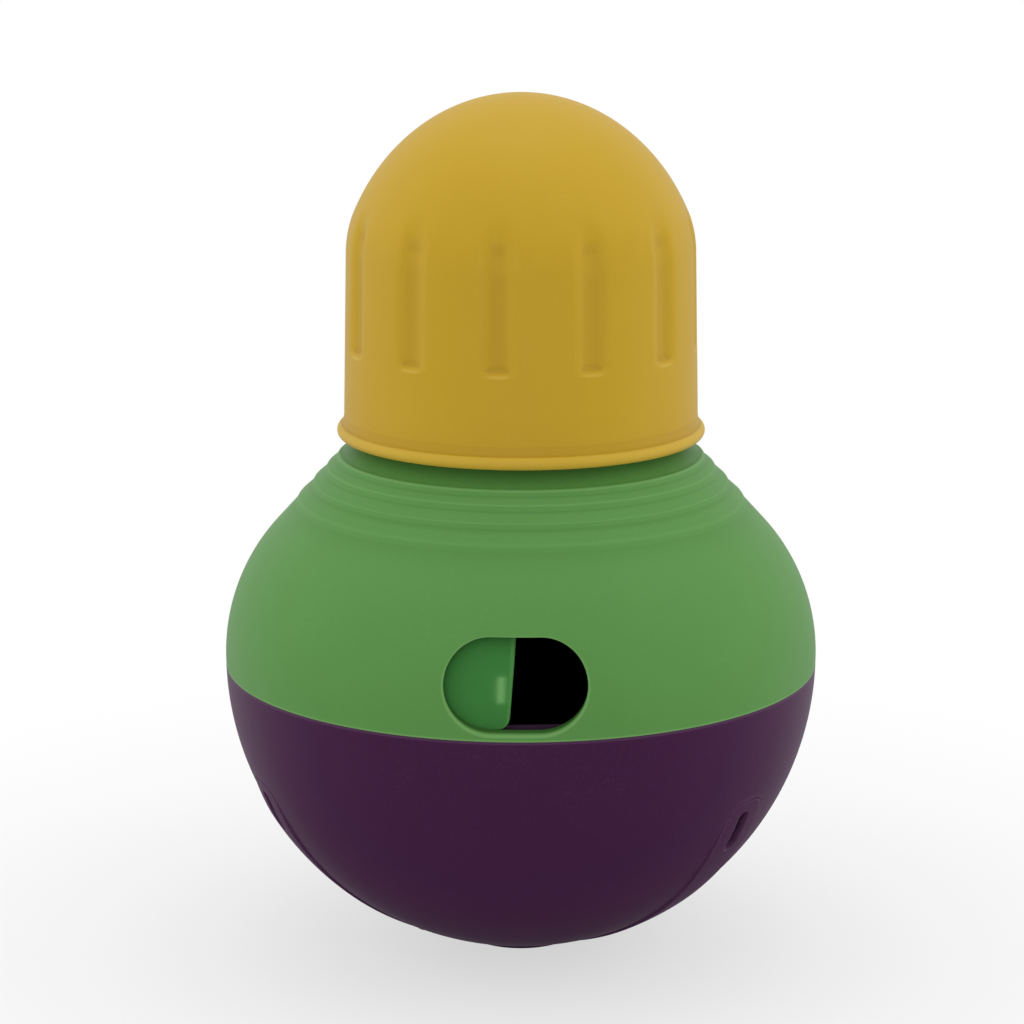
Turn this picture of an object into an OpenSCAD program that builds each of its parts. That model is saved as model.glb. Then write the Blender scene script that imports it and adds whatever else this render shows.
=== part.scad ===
// Treat dispensing wobble toy: a weighted bowl, a dome with a shuttered slot,
// and a screw-on chamber cap with a metered floor.
// Millimetres, +Z up, origin on the floor under the middle of the foot, slot facing -Y.

/* [Body] */
// Largest diameter of the round body
body_d = 200; // [180:1:230]
// Wall thickness of the bowl and the dome
body_wall = 3; // [2.6:0.1:3.6]
// Height of the flat foot below the round of the bowl
foot_stand = 1; // [0.6:0.1:1.1]
// Drop of the seam below the centre of the bowl
seam_drop = 2; // [1:0.5:4]
// Depth of the lap joint below the seam
lap_h = 8; // [6.5:0.5:9.5]
// Rise of the dome's arc centre above the centre of the bowl
dome_rise = 1; // [0:0.5:3]
// Radius of the dome's side arc
dome_arc_r = 64; // [58:1:72]
// Angle at which the side arc runs out into the straight shoulder
shoulder_tilt = 42.5; // [39:0.5:45]
// Number of raised steps on the shoulder
step_count = 4; // [2:1:5]
// Height of each shoulder step
step_h = 0.6; // [0.3:0.1:1]
// Distance of the first shoulder step from the neck
step_first = 8.2; // [7:0.1:10]
// Spacing of the first two shoulder steps
step_pitch = 3.7; // [3:0.1:4.2]
// Growth of the step spacing outwards
step_grow = 0.4; // [0:0.05:0.6]

/* [Slot and shutter] */
// Width of the dispensing slot
slot_w = 44.3; // [36:0.1:52]
// Height of the dispensing slot
slot_h = 29; // [24:0.5:32]
// Rise of the slot's lower edge above the dome's arc centre
slot_rise = 0.3; // [0:0.1:2]
// Thickness of the shutter
shutter_t = 2; // [1.6:0.1:2.4]
// Width of the shutter as an angle about the axis
shutter_arc = 34; // [32:0.5:38]
// Lean of the shutter's free edge
edge_lean = 4.3; // [0:0.1:6]
// Turn of the shutter either way from half open
shutter_turn = 14.5; // [14:0.1:16]
// Gap between the shutter and the parts that guide it
shutter_gap = 0.4; // [0.3:0.05:0.6]
// Thickness of the track's upright and of the rail's lip
guide_t = 2; // [1.6:0.1:2.6]

/* [Cap] */
// Diameter of the cap's wall just above its lip
cap_d = 118.2; // [110:0.2:126]
// Wall thickness of the cap
cap_wall = 3.2; // [2.8:0.1:3.8]
// Overall height of the cap
cap_h = 113.5; // [105:0.5:125]
// Height of the cap's straight wall, from its lower edge
cap_wall_h = 67.4; // [62:0.2:72]
// Narrowing of the wall's radius up to the crown
cap_draft = 1.3; // [0.6:0.1:2]
// Angle at which the crown's curve starts on the wall
crown_start = 19; // [12:1:26]
// Reach of the lip beyond the wall
lip_out = 2.4; // [1.5:0.1:3.2]
// Height of the lip's flare
lip_h = 7; // [5.5:0.1:8.5]
// Number of finger flutes
flute_count = 12; // [8:1:14]
// Width of a flute
flute_w = 12; // [9:0.5:14]
// Depth of a flute
flute_depth = 1.5; // [1:0.1:1.8]
// Height of a flute's lower end above the cap's lower edge
flute_rise = 29; // [22:0.5:36]
// Turn of the first flute from the slot
flute_offset = -6.6; // [-15:0.1:15]

/* [Thread] */
// Number of thread starts
thread_starts = 3; // [2:1:3]
// Rise of the cap in one full turn
thread_lead = 18; // [15:0.5:18]
// Arc covered by each thread lug
lug_arc = 44; // [36:1:50]
// Radial room between the neck and the cap
thread_room = 3.3; // [3:0.1:3.8]
// Radial gap over each thread lug's crest
thread_gap = 0.9; // [0.6:0.1:1.1]
// Thickness of a thread lug at its root
thread_root = 2.8; // [2.2:0.1:3]
// Thickness of a thread lug at its crest
thread_crest = 1.8; // [1.4:0.1:2]
// Wall thickness of the neck
neck_wall = 3.2; // [2.8:0.1:3.8]

/* [Chamber floor] */
// Thickness of the chamber floor
floor_t = 2; // [1.6:0.1:3]
// Thickness of the metering disc
meter_t = 2; // [1.6:0.1:3]
// Inner radius of the metering windows
window_in = 13; // [11:0.5:16]
// Outer radius of the metering windows
window_out = 40; // [34:0.5:41]
// Opening angle of each metering window
window_arc = 80; // [60:1:84]
// Radius of the metering pivot's shank
pivot_r = 3; // [2:0.1:4]
// Radial running gap between the metering disc and its pivot
pivot_fit = 0.06; // [0.03:0.01:0.1]
// Gap between pieces that turn or lift past each other
run_gap = 0.3; // [0.25:0.05:0.5]

/* [Base] */
// Gap between curved faces of pieces that are fixed together
seat_gap = 0.15; // [0.1:0.01:0.25]
// Height of the ballast's flat top above the floor
ballast_top = 20; // [17:0.5:24]
// Thickness of the ballast cover
cover_t = 2.5; // [2:0.1:3.5]
// Rise of the cone in the middle of the ballast cover
cover_rise = 7.5; // [4:0.5:12]
// Number of cover screws
screw_count = 4; // [3:1:6]
// Radius of the circle of cover screws
screw_circle = 42; // [38:0.5:44]
// Radius of a cover screw's shank
screw_r = 1.9; // [1.5:0.1:2.2]
// Length of a cover screw below its head
screw_l = 8; // [6.5:0.1:9]
// Radius of the screw bosses in the bowl
boss_r = 5; // [4:0.1:5.6]
// Width of a grip strip
strip_w = 18; // [14:0.5:22]
// Corner radius of a grip strip in plan
strip_corner = 4; // [2:0.5:6]
// Depth of the pockets that hold the grip strips and the foot
pocket_d = 1.2; // [0.8:0.1:1.5]
// Stand of the grip strips proud of the bowl
strip_proud = 0.8; // [0.4:0.1:1.2]
// Angle of the strips' outer ends below the widest part of the bowl
strip_top = 20.8; // [18:0.1:26]
// Plan gap between the foot and the inner ends of the grip strips
strip_gap = 4; // [3:0.5:9]
// Turn of the first grip strip from the slot
strip_offset = 53.2; // [30:0.1:80]
// Width of the anchor slot near the outer end of each strip
anchor_w = 5.6; // [3:0.1:6]
// Plan length of the anchor slot
anchor_l = 8; // [7:0.5:12]
// Radius of the rubber foot
foot_r = 20; // [18:0.5:21]
// Radius of the foot's push-in stem
stem_r = 4; // [3:0.1:5]

/* [Hidden] */
$fn = 96;
eps = 0.02;
over = 1;
strip_count = 3;
arc_step = 3;

// Heights and radii that the pieces share.
body_r = body_d / 2;
bowl_z = body_r + foot_stand;
bowl_in = body_r - body_wall;
seam_z = bowl_z - seam_drop;
dome_z = bowl_z + dome_rise;
arc_c = body_r - dome_arc_r;
dome_in = dome_arc_r - body_wall;

// Cap and neck radii, from the cap's wall inwards.
cap_r = cap_d / 2;
cap_top_r = cap_r - cap_draft;
cap_in = cap_r - cap_wall;
neck_r = cap_in - thread_room;
neck_in = neck_r - neck_wall;
tooth_h = thread_room - thread_gap;

// Where the shoulder's outer and inner lines start and where they meet the neck.
shoulder_r = arc_c + dome_arc_r * cos(shoulder_tilt);
shoulder_z = dome_z + dome_arc_r * sin(shoulder_tilt);
under_r = arc_c + dome_in * cos(shoulder_tilt);
under_z = dome_z + dome_in * sin(shoulder_tilt);
shoulder_cot = 1 / tan(shoulder_tilt);
neck_z = shoulder_z + (shoulder_r - neck_r) * shoulder_cot;
neck_under_z = under_z + (under_r - neck_in) * shoulder_cot;

// Thread lugs: each start is two lugs along its helix, and the cap's lie just under the neck's.
lugs_per_start = 2;
lug_space = 6;
lug_step = lug_arc + lug_space;
lug_lean = atan(thread_lead / (2 * PI * cap_in));
lug_rise = thread_lead * lug_arc / 720;
thread_sink = 0.6;
flank = (thread_root - thread_crest) / (tooth_h + thread_sink);
thread_drop = (thread_root + thread_crest - flank * (thread_gap + thread_sink)) / 2 + run_gap;
cap_thread_z = neck_z + thread_root / 2 + lug_rise;
neck_thread_z = cap_thread_z + thread_drop;
neck_thread_top = neck_thread_z + thread_lead * lug_step / 360 + lug_rise + thread_root / 2;
nub_count = 3;
nub_h = 1.6;
nub_arc = 8;
nub_reach = 0.5;
nub_z = neck_thread_top + 2 * run_gap;
neck_top = nub_z + nub_h + run_gap;

// Cap heights.
cap_gap = 2.2;
cap_z = neck_z - cap_gap;
floor_top = neck_top + floor_t;
ledge_z = floor_top + run_gap;
ledge_w = 3.5;
ledge_t = 2;
ledge_slope = 5;
lip_round = lip_h / 6;
lip_bead_z = lip_h / 5;
lip_crease_z = lip_h * 0.64;
bead_low = -60;
bead_high = 20;
flute_ramp = flute_depth * 1.2;
crown_a = cap_top_r / cos(crown_start);
crown_b = (cap_h - cap_wall_h) / (1 - sin(crown_start));
crown_z = cap_z + cap_h - crown_b;

// Chamber floor and metering disc.
plate_gap = 1.4;
flange_r = cap_in - plate_gap;
skirt_r = neck_in - run_gap;
skirt_t = 2;
skirt_h = 4.5;
key_w = 4;
key_out = 1.2;
meter_r = neck_in - plate_gap;
meter_z = floor_top + run_gap;
meter_top = meter_z + meter_t;
rib_t = 2.5;
rib_h = 8;
rib_l = 24;
pivot_head_r = pivot_r * 2;
pivot_head_t = 2;
pivot_snap_r = pivot_r * 1.5;

// Shutter, its track ring and the joint between bowl and dome.
lap_t = body_wall / 2;
lap_r = body_r - lap_t;
track_t = 2.2;
track_z = seam_z - lap_h;
track_floor = track_z + track_t;
shutter_out = dome_in - shutter_gap;
shutter_in = shutter_out - shutter_t;
shutter_top = 33;
track_r = arc_c + shutter_in - shutter_gap;
track_show = 0.3;
track_top = dome_z + slot_rise + track_show;
rail_out = shutter_in - shutter_gap;
rail_in = rail_out - guide_t;
rail_low = 29;
rail_play = 0.6;
rail_depth = 2.4;
rail_web = shutter_top + rail_play;
rail_high = rail_web + rail_depth;
stop_arc = 2.4;
stop_low = 5;
stop_play = 0.8;
stop_over = 0.5;
rail_start = -shutter_arc - shutter_turn - stop_play - stop_arc;
rail_end = shutter_turn + stop_play + stop_arc;

// Ballast, cover and screws.
ballast_r = bowl_in - 2 * seat_gap;
cover_z = ballast_top + seat_gap;
cover_top = cover_z + cover_t;
boss_gap = 0.5;
screw_head_r = 2 * screw_r;
screw_head_t = 1.4 * screw_r;
screw_fit = 0.1;
screw_bite = 0.8;
screw_turn = 45;
cone_margin = 3;
cone_shift = 1;
cover_cone_r = screw_circle - screw_head_r - cone_margin;

// Foot and grip strips.
pocket_r = body_r - pocket_d;
foot_bulge = 1.2;
foot_proud = foot_stand + foot_bulge;
strip_r = body_r + strip_proud;
strip_reach = body_r * cos(strip_top);
strip_start = foot_r + strip_gap;
side_gap = 0.2;
anchor_margin = 2;
anchor_end = strip_reach - anchor_margin;
anchor_depth = 1;
stem_lip = 2.5;
stem_head_r = stem_r + stem_lip;
stem_head_t = 2;
stem_room = 1;

// Points of an arc about (cr, cz), from angle a0 to a1.
function arc(cr, cz, r, a0, a1) =
  let (n = max(2, ceil(abs(a1 - a0) / arc_step)))
  [for (i = [0 : n]) let (a = a0 + (a1 - a0) * i / n) [cr + r * cos(a), cz + r * sin(a)]];

// Points of the cap's crown, inset by t, from angle a0 up to the top.
function crown(t, a0) =
  let (n = ceil((90 - a0) / arc_step))
  [for (i = [0 : n]) let (a = a0 + (90 - a0) * i / n)
    [i == n ? 0 : (crown_a - t) * cos(a), crown_z + (crown_b - t) * sin(a)]];

function flip(list) = [for (i = [len(list) - 1 : -1 : 0]) list[i]];

// Point on the shoulder's outer line at radius r.
function on_shoulder(r) = [r, shoulder_z + (shoulder_r - r) * shoulder_cot];

// Radius of the outer edge of shoulder step i; the steps widen outwards.
function step_r(i) = neck_r + step_first + step_pitch * i + step_grow * i * (i - 1);

// Points of the shoulder with its steps, from the neck outwards.
function shoulder_points() = [
  for (i = [0 : step_count - 1], k = [0 : 1])
    let (p = on_shoulder(step_r(i)), n = [cos(shoulder_tilt), sin(shoulder_tilt)])
    k == 0 ? p + n * step_h : on_shoulder(step_r(i) + step_h)
];

// A turn about the axis from the slot's direction, positive towards +X.
module at_slot(a) {
  rotate([0, 0, a - 90]) children();
}

// A solid swept about the axis between two angles from the slot.
module swept(a0, a1) {
  at_slot(a0) rotate_extrude(angle = a1 - a0) children();
}

module bowl_ball(r) {
  translate([0, 0, bowl_z]) sphere(r = r);
}

// Obround in plan from x0 to x1, w wide.
module obround(x0, x1, w) {
  translate([x0 + w / 2, -w / 2]) square([x1 - x0 - w, w]);
  translate([x0 + w / 2, 0]) circle(d = w);
  translate([x1 - w / 2, 0]) circle(d = w);
}

// Rectangle in plan from x0 to x1, w wide, with round corners of radius c.
module rounded(x0, x1, w, c) {
  translate([x0 + c, -w / 2]) square([x1 - x0 - 2 * c, w]);
  translate([x0, c - w / 2]) square([x1 - x0, w - 2 * c]);
  for (x = [x0 + c, x1 - c], y = [c - w / 2, w / 2 - c])
    translate([x, y]) circle(r = c);
}

// A shell between two ball radii, cut out along a plan shape seen from below.
module ball_band(r0, r1) {
  intersection() {
    difference() {
      bowl_ball(r1);
      bowl_ball(r0);
    }
    linear_extrude(height = bowl_z) children();
  }
}

// Plan of a grip strip inset by gap, and plan of its anchor slot.
module strip_plan(gap) {
  rounded(strip_start + gap, strip_reach - gap, strip_w - 2 * gap, strip_corner - gap);
}

module anchor_plan() {
  obround(anchor_end - anchor_l, anchor_end, anchor_w);
}

// One thread lug, leaning along the helix; r0 and r1 are its root and crest.
module lug(r0, r1) {
  root = thread_root / 2;
  crest = thread_crest / 2;
  rotate([lug_lean, 0, 0]) rotate([0, 0, -lug_arc / 2]) rotate_extrude(angle = lug_arc)
    polygon([[r0, -root], [r1, -crest], [r1, crest], [r0, root]]);
}

module threads(r0, r1, z) {
  for (i = [0 : thread_starts - 1], k = [0 : lugs_per_start - 1])
    rotate([0, 0, i * 360 / thread_starts + k * lug_step])
      translate([0, 0, z + thread_lead * k * lug_step / 360]) lug(r0, r1);
}

// Two opposite sector windows, in line with the slot.
module windows() {
  half = window_arc / 2;
  far = 2 * window_out;
  intersection() {
    difference() {
      circle(r = window_out);
      circle(r = window_in);
    }
    for (s = [-1, 1])
      polygon([[0, 0], [far * sin(half), s * far * cos(half)], [-far * sin(half), s * far * cos(half)]]);
  }
}

module screw_places() {
  for (i = [0 : screw_count - 1])
    rotate([0, 0, screw_turn + i * 360 / screw_count]) translate([screw_circle, 0, 0]) children();
}

// Lower housing: ball shell with a lap for the dome, strip pockets and screw bosses.
module bowl() {
  color([0.22, 0.11, 0.22])
  difference() {
    union() {
      difference() {
        bowl_ball(body_r);
        bowl_ball(bowl_in);
        translate([0, 0, seam_z]) cylinder(r = body_d, h = body_d);
        translate([0, 0, track_z]) cylinder(r = lap_r, h = body_d);
      }
      intersection() {
        bowl_ball(bowl_in + body_wall / 2);
        screw_places() cylinder(r = boss_r, h = cover_z);
      }
    }
    for (i = [0 : strip_count - 1])
      at_slot(strip_offset + i * 360 / strip_count) {
        ball_band(pocket_r, body_d) strip_plan(0);
        ball_band(pocket_r - anchor_depth, body_r) anchor_plan();
      }
    intersection() {
      difference() {
        bowl_ball(body_d);
        bowl_ball(pocket_r);
      }
      cylinder(r = foot_r, h = bowl_z / 2);
    }
    cylinder(r = stem_r + seat_gap, h = bowl_z / 2);
    screw_places() translate([0, 0, cover_top - screw_l - screw_bite])
      cylinder(r = screw_r + screw_fit, h = bowl_z);
  }
}

// Upper housing: arc and shoulder shell with the slot, the shutter's rail and the threaded neck.
module dome() {
  lap_a = -asin((dome_rise + seam_drop) / dome_arc_r);
  color([0.35, 0.55, 0.30])
  difference() {
    union() {
      rotate_extrude() polygon(concat(
        arc(arc_c, dome_z, dome_arc_r, lap_a, shoulder_tilt),
        flip(shoulder_points()),
        [[neck_r, neck_z], [neck_r, neck_top], [neck_in, neck_top], [neck_in, neck_under_z]],
        flip(arc(arc_c, dome_z, dome_in, 0, shoulder_tilt)),
        [[bowl_in, track_floor], [lap_r - seat_gap, track_floor], [lap_r - seat_gap, seam_z]]
      ));
      swept(rail_start, rail_end) polygon(concat(
        arc(arc_c, dome_z, rail_in, rail_low, rail_high),
        arc(arc_c, dome_z, dome_in + body_wall / 2, rail_high, rail_web),
        arc(arc_c, dome_z, rail_out, rail_web, rail_low)
      ));
      for (a = [rail_start - stop_over, rail_end - stop_arc])
        swept(a, a + stop_arc + stop_over) polygon(concat(
          arc(arc_c, dome_z, rail_in - stop_over, stop_low, rail_high - stop_over),
          arc(arc_c, dome_z, dome_in + body_wall / 3, rail_high - stop_over, stop_low)
        ));
      threads(neck_r - thread_sink, neck_r + tooth_h, neck_thread_z);
    }
    translate([0, 0, dome_z + slot_rise + slot_h / 2]) rotate([90, 0, 0])
      linear_extrude(height = body_d) obround(-slot_w / 2, slot_w / 2, slot_h);
    for (s = [0, 180])
      rotate([0, 0, s]) translate([0, -key_w / 2 - run_gap, neck_top - skirt_h - run_gap])
        cube([neck_in + key_out + run_gap, key_w + 2 * run_gap, skirt_h + over]);
  }
}

// Ring clamped under the dome's tongue; its upright is the inner guide of the shutter.
module shutter_track() {
  color([0.24, 0.13, 0.24])
  rotate_extrude() polygon([
    [track_r - guide_t, track_z], [lap_r - seat_gap, track_z], [lap_r - seat_gap, track_floor],
    [track_r, track_floor], [track_r, track_top], [track_r - guide_t, track_top]
  ]);
}

// Curved plate that slides behind the slot, shown half open.
module shutter() {
  low = track_floor + run_gap;
  high = dome_z + shutter_out * sin(shutter_top);
  color([0.23, 0.45, 0.22])
  difference() {
    swept(-shutter_arc, 0) polygon(concat(
      [[arc_c + shutter_in, low], [arc_c + shutter_out, low]],
      arc(arc_c, dome_z, shutter_out, 0, shutter_top),
      flip(arc(arc_c, dome_z, shutter_in, 0, shutter_top))
    ));
    translate([0, 0, high + over]) rotate([0, edge_lean, 0]) translate([0, -body_d, -body_r])
      cube([body_r, body_d, body_d]);
  }
}

// Cast weight that fills the bottom of the bowl.
module ballast() {
  color([0.25, 0.25, 0.26])
  difference() {
    intersection() {
      bowl_ball(ballast_r);
      cylinder(r = body_r, h = ballast_top);
    }
    screw_places() cylinder(r = boss_r + boss_gap, h = bowl_z);
    cylinder(r = stem_head_r + boss_gap, h = bowl_z - bowl_in + stem_head_t + stem_room);
  }
}

// Disc that closes the ballast off from the treats.
module ballast_cover() {
  low_r = sqrt(pow(bowl_in, 2) - pow(bowl_z - cover_z, 2)) - run_gap;
  top_r = sqrt(pow(bowl_in, 2) - pow(bowl_z - cover_top, 2)) - run_gap;
  color([0.24, 0.13, 0.24])
  difference() {
    rotate_extrude() polygon([
      [0, cover_z + cover_rise], [cover_cone_r - cone_shift, cover_z], [low_r, cover_z], [top_r, cover_top],
      [cover_cone_r, cover_top], [0, cover_top + cover_rise]
    ]);
    screw_places() cylinder(r = screw_r + screw_fit, h = bowl_z);
  }
}

// Pan head screws that hold the cover to the bosses in the bowl.
module cover_screws() {
  color([0.6, 0.6, 0.62])
  screw_places() {
    difference() {
      translate([0, 0, cover_top]) cylinder(r = screw_head_r, h = screw_head_t);
      for (a = [0, 90])
        rotate([0, 0, a]) translate([-screw_r, -screw_r / 4, cover_top + screw_head_t / 2])
          cube([2 * screw_r, screw_r / 2, screw_head_t]);
    }
    translate([0, 0, cover_top - screw_l]) cylinder(r = screw_r, h = screw_l + eps);
  }
}

// Rubber foot with a flat underside and a push-in stem.
module foot_pad() {
  color([0.20, 0.10, 0.20]) {
    intersection() {
      difference() {
        bowl_ball(body_r + foot_proud);
        bowl_ball(pocket_r + seat_gap);
      }
      cylinder(r = foot_r - side_gap, h = bowl_z / 2);
    }
    translate([0, 0, foot_stand + pocket_d / 2])
      cylinder(r = stem_r, h = body_wall - pocket_d / 2 + seat_gap + stem_head_t);
    translate([0, 0, bowl_z - bowl_in + seat_gap]) cylinder(r = stem_head_r, h = stem_head_t);
  }
}

// One rubber grip strip in its pocket, with the anchor slot near its outer end.
module grip_strip(i) {
  color([0.23, 0.12, 0.23])
  at_slot(strip_offset + i * 360 / strip_count)
  difference() {
    ball_band(pocket_r + seat_gap, strip_r) strip_plan(side_gap);
    ball_band(pocket_r - body_wall, body_d) anchor_plan();
  }
}

module grip_strip_1() { grip_strip(0); }
module grip_strip_2() { grip_strip(1); }
module grip_strip_3() { grip_strip(2); }

// One flute cutter, leaning with the wall and ending in a ramp below.
module flute() {
  lean = atan(cap_draft / (cap_wall_h - lip_h));
  sag = flute_depth - (cap_r - sqrt(pow(cap_r, 2) - pow(flute_w / 2, 2)));
  r = (pow(flute_w / 2, 2) + pow(sag, 2)) / (2 * sag);
  base_r = cap_r - (flute_rise - lip_h) * tan(lean) - flute_depth;
  translate([base_r, 0, cap_z + flute_rise]) rotate([0, -lean, 0]) translate([r, 0, 0]) {
    cylinder(r1 = r - flute_ramp, r2 = r, h = flute_ramp + eps);
    translate([0, 0, flute_ramp]) cylinder(r = r, h = cap_h);
  }
}

// Screw-on upper chamber: fluted wall, crown, lip, inner ledge, threads and snap nubs.
module cap() {
  color([0.78, 0.62, 0.20])
  difference() {
    union() {
      rotate_extrude() polygon(concat(
        [[cap_in, cap_z], [cap_r + lip_out / 2, cap_z]],
        arc(cap_r + lip_out - lip_round, cap_z + lip_bead_z, lip_round, bead_low, bead_high),
        [[cap_r + lip_out / 2, cap_z + lip_crease_z], [cap_r, cap_z + lip_h]],
        crown(0, crown_start),
        flip(crown(cap_wall, crown_start)),
        [[cap_in, ledge_z + ledge_t + ledge_slope], [cap_in - ledge_w, ledge_z + ledge_t]],
        [[cap_in - ledge_w, ledge_z], [cap_in, ledge_z]]
      ));
      threads(cap_in + thread_sink, cap_in - tooth_h, cap_thread_z);
      for (i = [0 : nub_count - 1])
        rotate([0, 0, i * 360 / nub_count]) translate([0, 0, nub_z]) rotate_extrude(angle = nub_arc)
          translate([flange_r - nub_reach, 0]) square([cap_in - flange_r + 2 * nub_reach, nub_h]);
    }
    for (i = [0 : flute_count - 1])
      at_slot(flute_offset + i * 360 / flute_count) flute();
  }
}

// Floor of the cap's chamber: flange on the neck, keyed skirt and metering windows.
module chamber_floor() {
  color([0.38, 0.58, 0.33])
  difference() {
    union() {
      translate([0, 0, neck_top]) cylinder(r = flange_r, h = floor_t);
      translate([0, 0, neck_top - skirt_h]) difference() {
        cylinder(r = skirt_r, h = skirt_h + floor_t / 2);
        translate([0, 0, -over]) cylinder(r = skirt_r - skirt_t, h = skirt_h + floor_t);
      }
      for (s = [0, 180])
        rotate([0, 0, s]) translate([skirt_r - skirt_t / 2, -key_w / 2, neck_top - skirt_h])
          cube([neck_in + key_out - skirt_r + skirt_t / 2, key_w, skirt_h + floor_t / 2]);
    }
    translate([0, 0, neck_top - over]) linear_extrude(height = floor_t + 2 * over) windows();
    translate([0, 0, neck_top - over]) cylinder(r = pivot_r + pivot_fit, h = floor_t + 2 * over);
  }
}

// Disc that turns on the chamber floor to open or close its windows.
module meter_disc() {
  color([0.80, 0.65, 0.25])
  difference() {
    union() {
      translate([0, 0, meter_z]) cylinder(r = meter_r, h = meter_t);
      for (s = [0, 180])
        rotate([0, 0, s]) translate([window_in, -rib_t / 2, meter_top - eps])
          cube([rib_l, rib_t, rib_h]);
    }
    translate([0, 0, meter_z - over]) linear_extrude(height = meter_t + 2 * over) windows();
    translate([0, 0, meter_z - over]) cylinder(r = pivot_r + pivot_fit, h = meter_t + 2 * over);
  }
}

// Push-in pivot with a head above the disc and a snap head below the floor.
module meter_pivot() {
  color([0.38, 0.58, 0.33]) {
    translate([0, 0, neck_top - pivot_head_t]) cylinder(r = pivot_snap_r, h = pivot_head_t);
    translate([0, 0, neck_top - eps]) cylinder(r = pivot_r, h = meter_top + run_gap - neck_top + 2 * eps);
    translate([0, 0, meter_top + run_gap]) cylinder(r = pivot_head_r, h = pivot_head_t);
  }
}

bowl();
dome();
shutter_track();
shutter();
ballast();
ballast_cover();
cover_screws();
foot_pad();
grip_strip_1();
grip_strip_2();
grip_strip_3();
cap();
chamber_floor();
meter_disc();
meter_pivot();
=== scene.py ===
"""Looks of a weighted treat dispensing toy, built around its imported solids.

Shapes are worked out in millimetres in the part's own frame: the floor is z = 0,
the slot faces -Y, and angles about the axis run from -Y towards +X.
"""

import logging
import math
from dataclasses import dataclass, field
from enum import Enum
from typing import Any, Callable, Iterable, Optional, Sequence, Union

import bmesh
import bpy
import numpy as np
from mathutils import Matrix, Vector
from mathutils.geometry import delaunay_2d_cdt


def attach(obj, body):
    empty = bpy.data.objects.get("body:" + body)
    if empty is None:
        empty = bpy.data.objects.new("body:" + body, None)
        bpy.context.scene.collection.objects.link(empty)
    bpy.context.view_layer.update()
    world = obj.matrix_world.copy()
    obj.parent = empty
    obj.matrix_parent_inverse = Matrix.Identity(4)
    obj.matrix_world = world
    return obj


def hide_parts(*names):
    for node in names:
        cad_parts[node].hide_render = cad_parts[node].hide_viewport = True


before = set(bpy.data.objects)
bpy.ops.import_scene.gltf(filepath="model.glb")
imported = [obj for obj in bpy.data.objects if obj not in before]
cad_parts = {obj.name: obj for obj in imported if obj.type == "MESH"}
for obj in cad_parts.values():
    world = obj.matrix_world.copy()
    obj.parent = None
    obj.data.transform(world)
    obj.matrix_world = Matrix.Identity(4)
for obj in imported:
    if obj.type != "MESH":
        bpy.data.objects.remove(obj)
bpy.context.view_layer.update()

LOG = logging.getLogger("treat_toy")
Point2 = tuple[float, float]
Colour = tuple[float, float, float, float]
MM = 0.001
BLACK: Colour = (0.0, 0.0, 0.0, 1.0)
WHITE: Colour = (1.0, 1.0, 1.0, 1.0)

# Shorter edges than this mislead Cycles' pointiness, which takes their ends for one point.
LEAST_EDGE = 0.4
# A rounding takes at most this share of the edges beside it.
ROUNDED_SHARE = 0.48
# Triangles of a patch with less than half this area are left out.
SLIVER = 2e-3
# Filling points of a patch keep this share of their spacing from its edges.
KEEP_OFF = 0.55
# Rows of a staggered grid lie this share of its step apart.
ROW_RISE = 0.866
# Points closer than this count as one.
SAME_POINT = 1e-4
# A point this far beside an edge tells the edge's inside from its outside.
PROBE = 0.05
# Triangulating a patch takes map points closer than this for one.
MAP_NEAR = 1e-6
# In metres: points that are welded, edges too short to keep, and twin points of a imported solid.
WELD = 2e-6
EMPTY_EDGE = 1e-7
TWIN_POINT = 1e-6

# The round body: the bowl's centre, the seam, and the arc that is turned into the dome's side.
BALL_Z = 101.0
BALL_MID = Vector((0.0, 0.0, BALL_Z))
SEAM_Z = 99.0
SIDE_MID: Point2 = (36.0, 102.0)
SIDE_R = 64.0


def srgb(*steps: float) -> Colour:
    """Turn red, green and blue in 0 to 255 steps into the linear colour that a shader takes.

    Args:
        steps: The three channels.

    Returns:
        The linear colour with full alpha.
    """
    shares = [step / 255.0 for step in steps]
    linear = [v / 12.92 if v <= 0.04045 else ((v + 0.055) / 1.055) ** 2.4 for v in shares]
    return (*linear, 1.0)


class Body(Enum):
    """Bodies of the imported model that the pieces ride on."""

    HOUSING = "housing"
    SHUTTER = "shutter"
    INSERT = "chamber_insert"
    CAP = "cap"
    METER = "meter"


class Slot(Enum):
    """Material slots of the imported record."""

    BOWL = "bowl_plastic"
    DOME = "dome_plastic"
    CAP = "cap_plastic"
    SHUTTER = "shutter_plastic"
    RUBBER = "grip_rubber"
    IRON = "iron"
    STEEL = "steel"


def operator(operation: str, swapped: bool = False) -> Callable[..., "Wire"]:
    """Make a method of Wire that adds one Math node.

    Args:
        operation: The node's operation.
        swapped: Whether the wire is the second value, as in a number minus a wire.

    Returns:
        The method.
    """
    def method(wire: "Wire", other: "Value" = 0.0) -> "Wire":
        """Work the operation out on the wire and another value."""
        pair = (other, wire) if swapped else (wire, other)
        return wire.graph.add("Math", {"operation": operation}, dict(enumerate(pair)))

    return method


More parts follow.
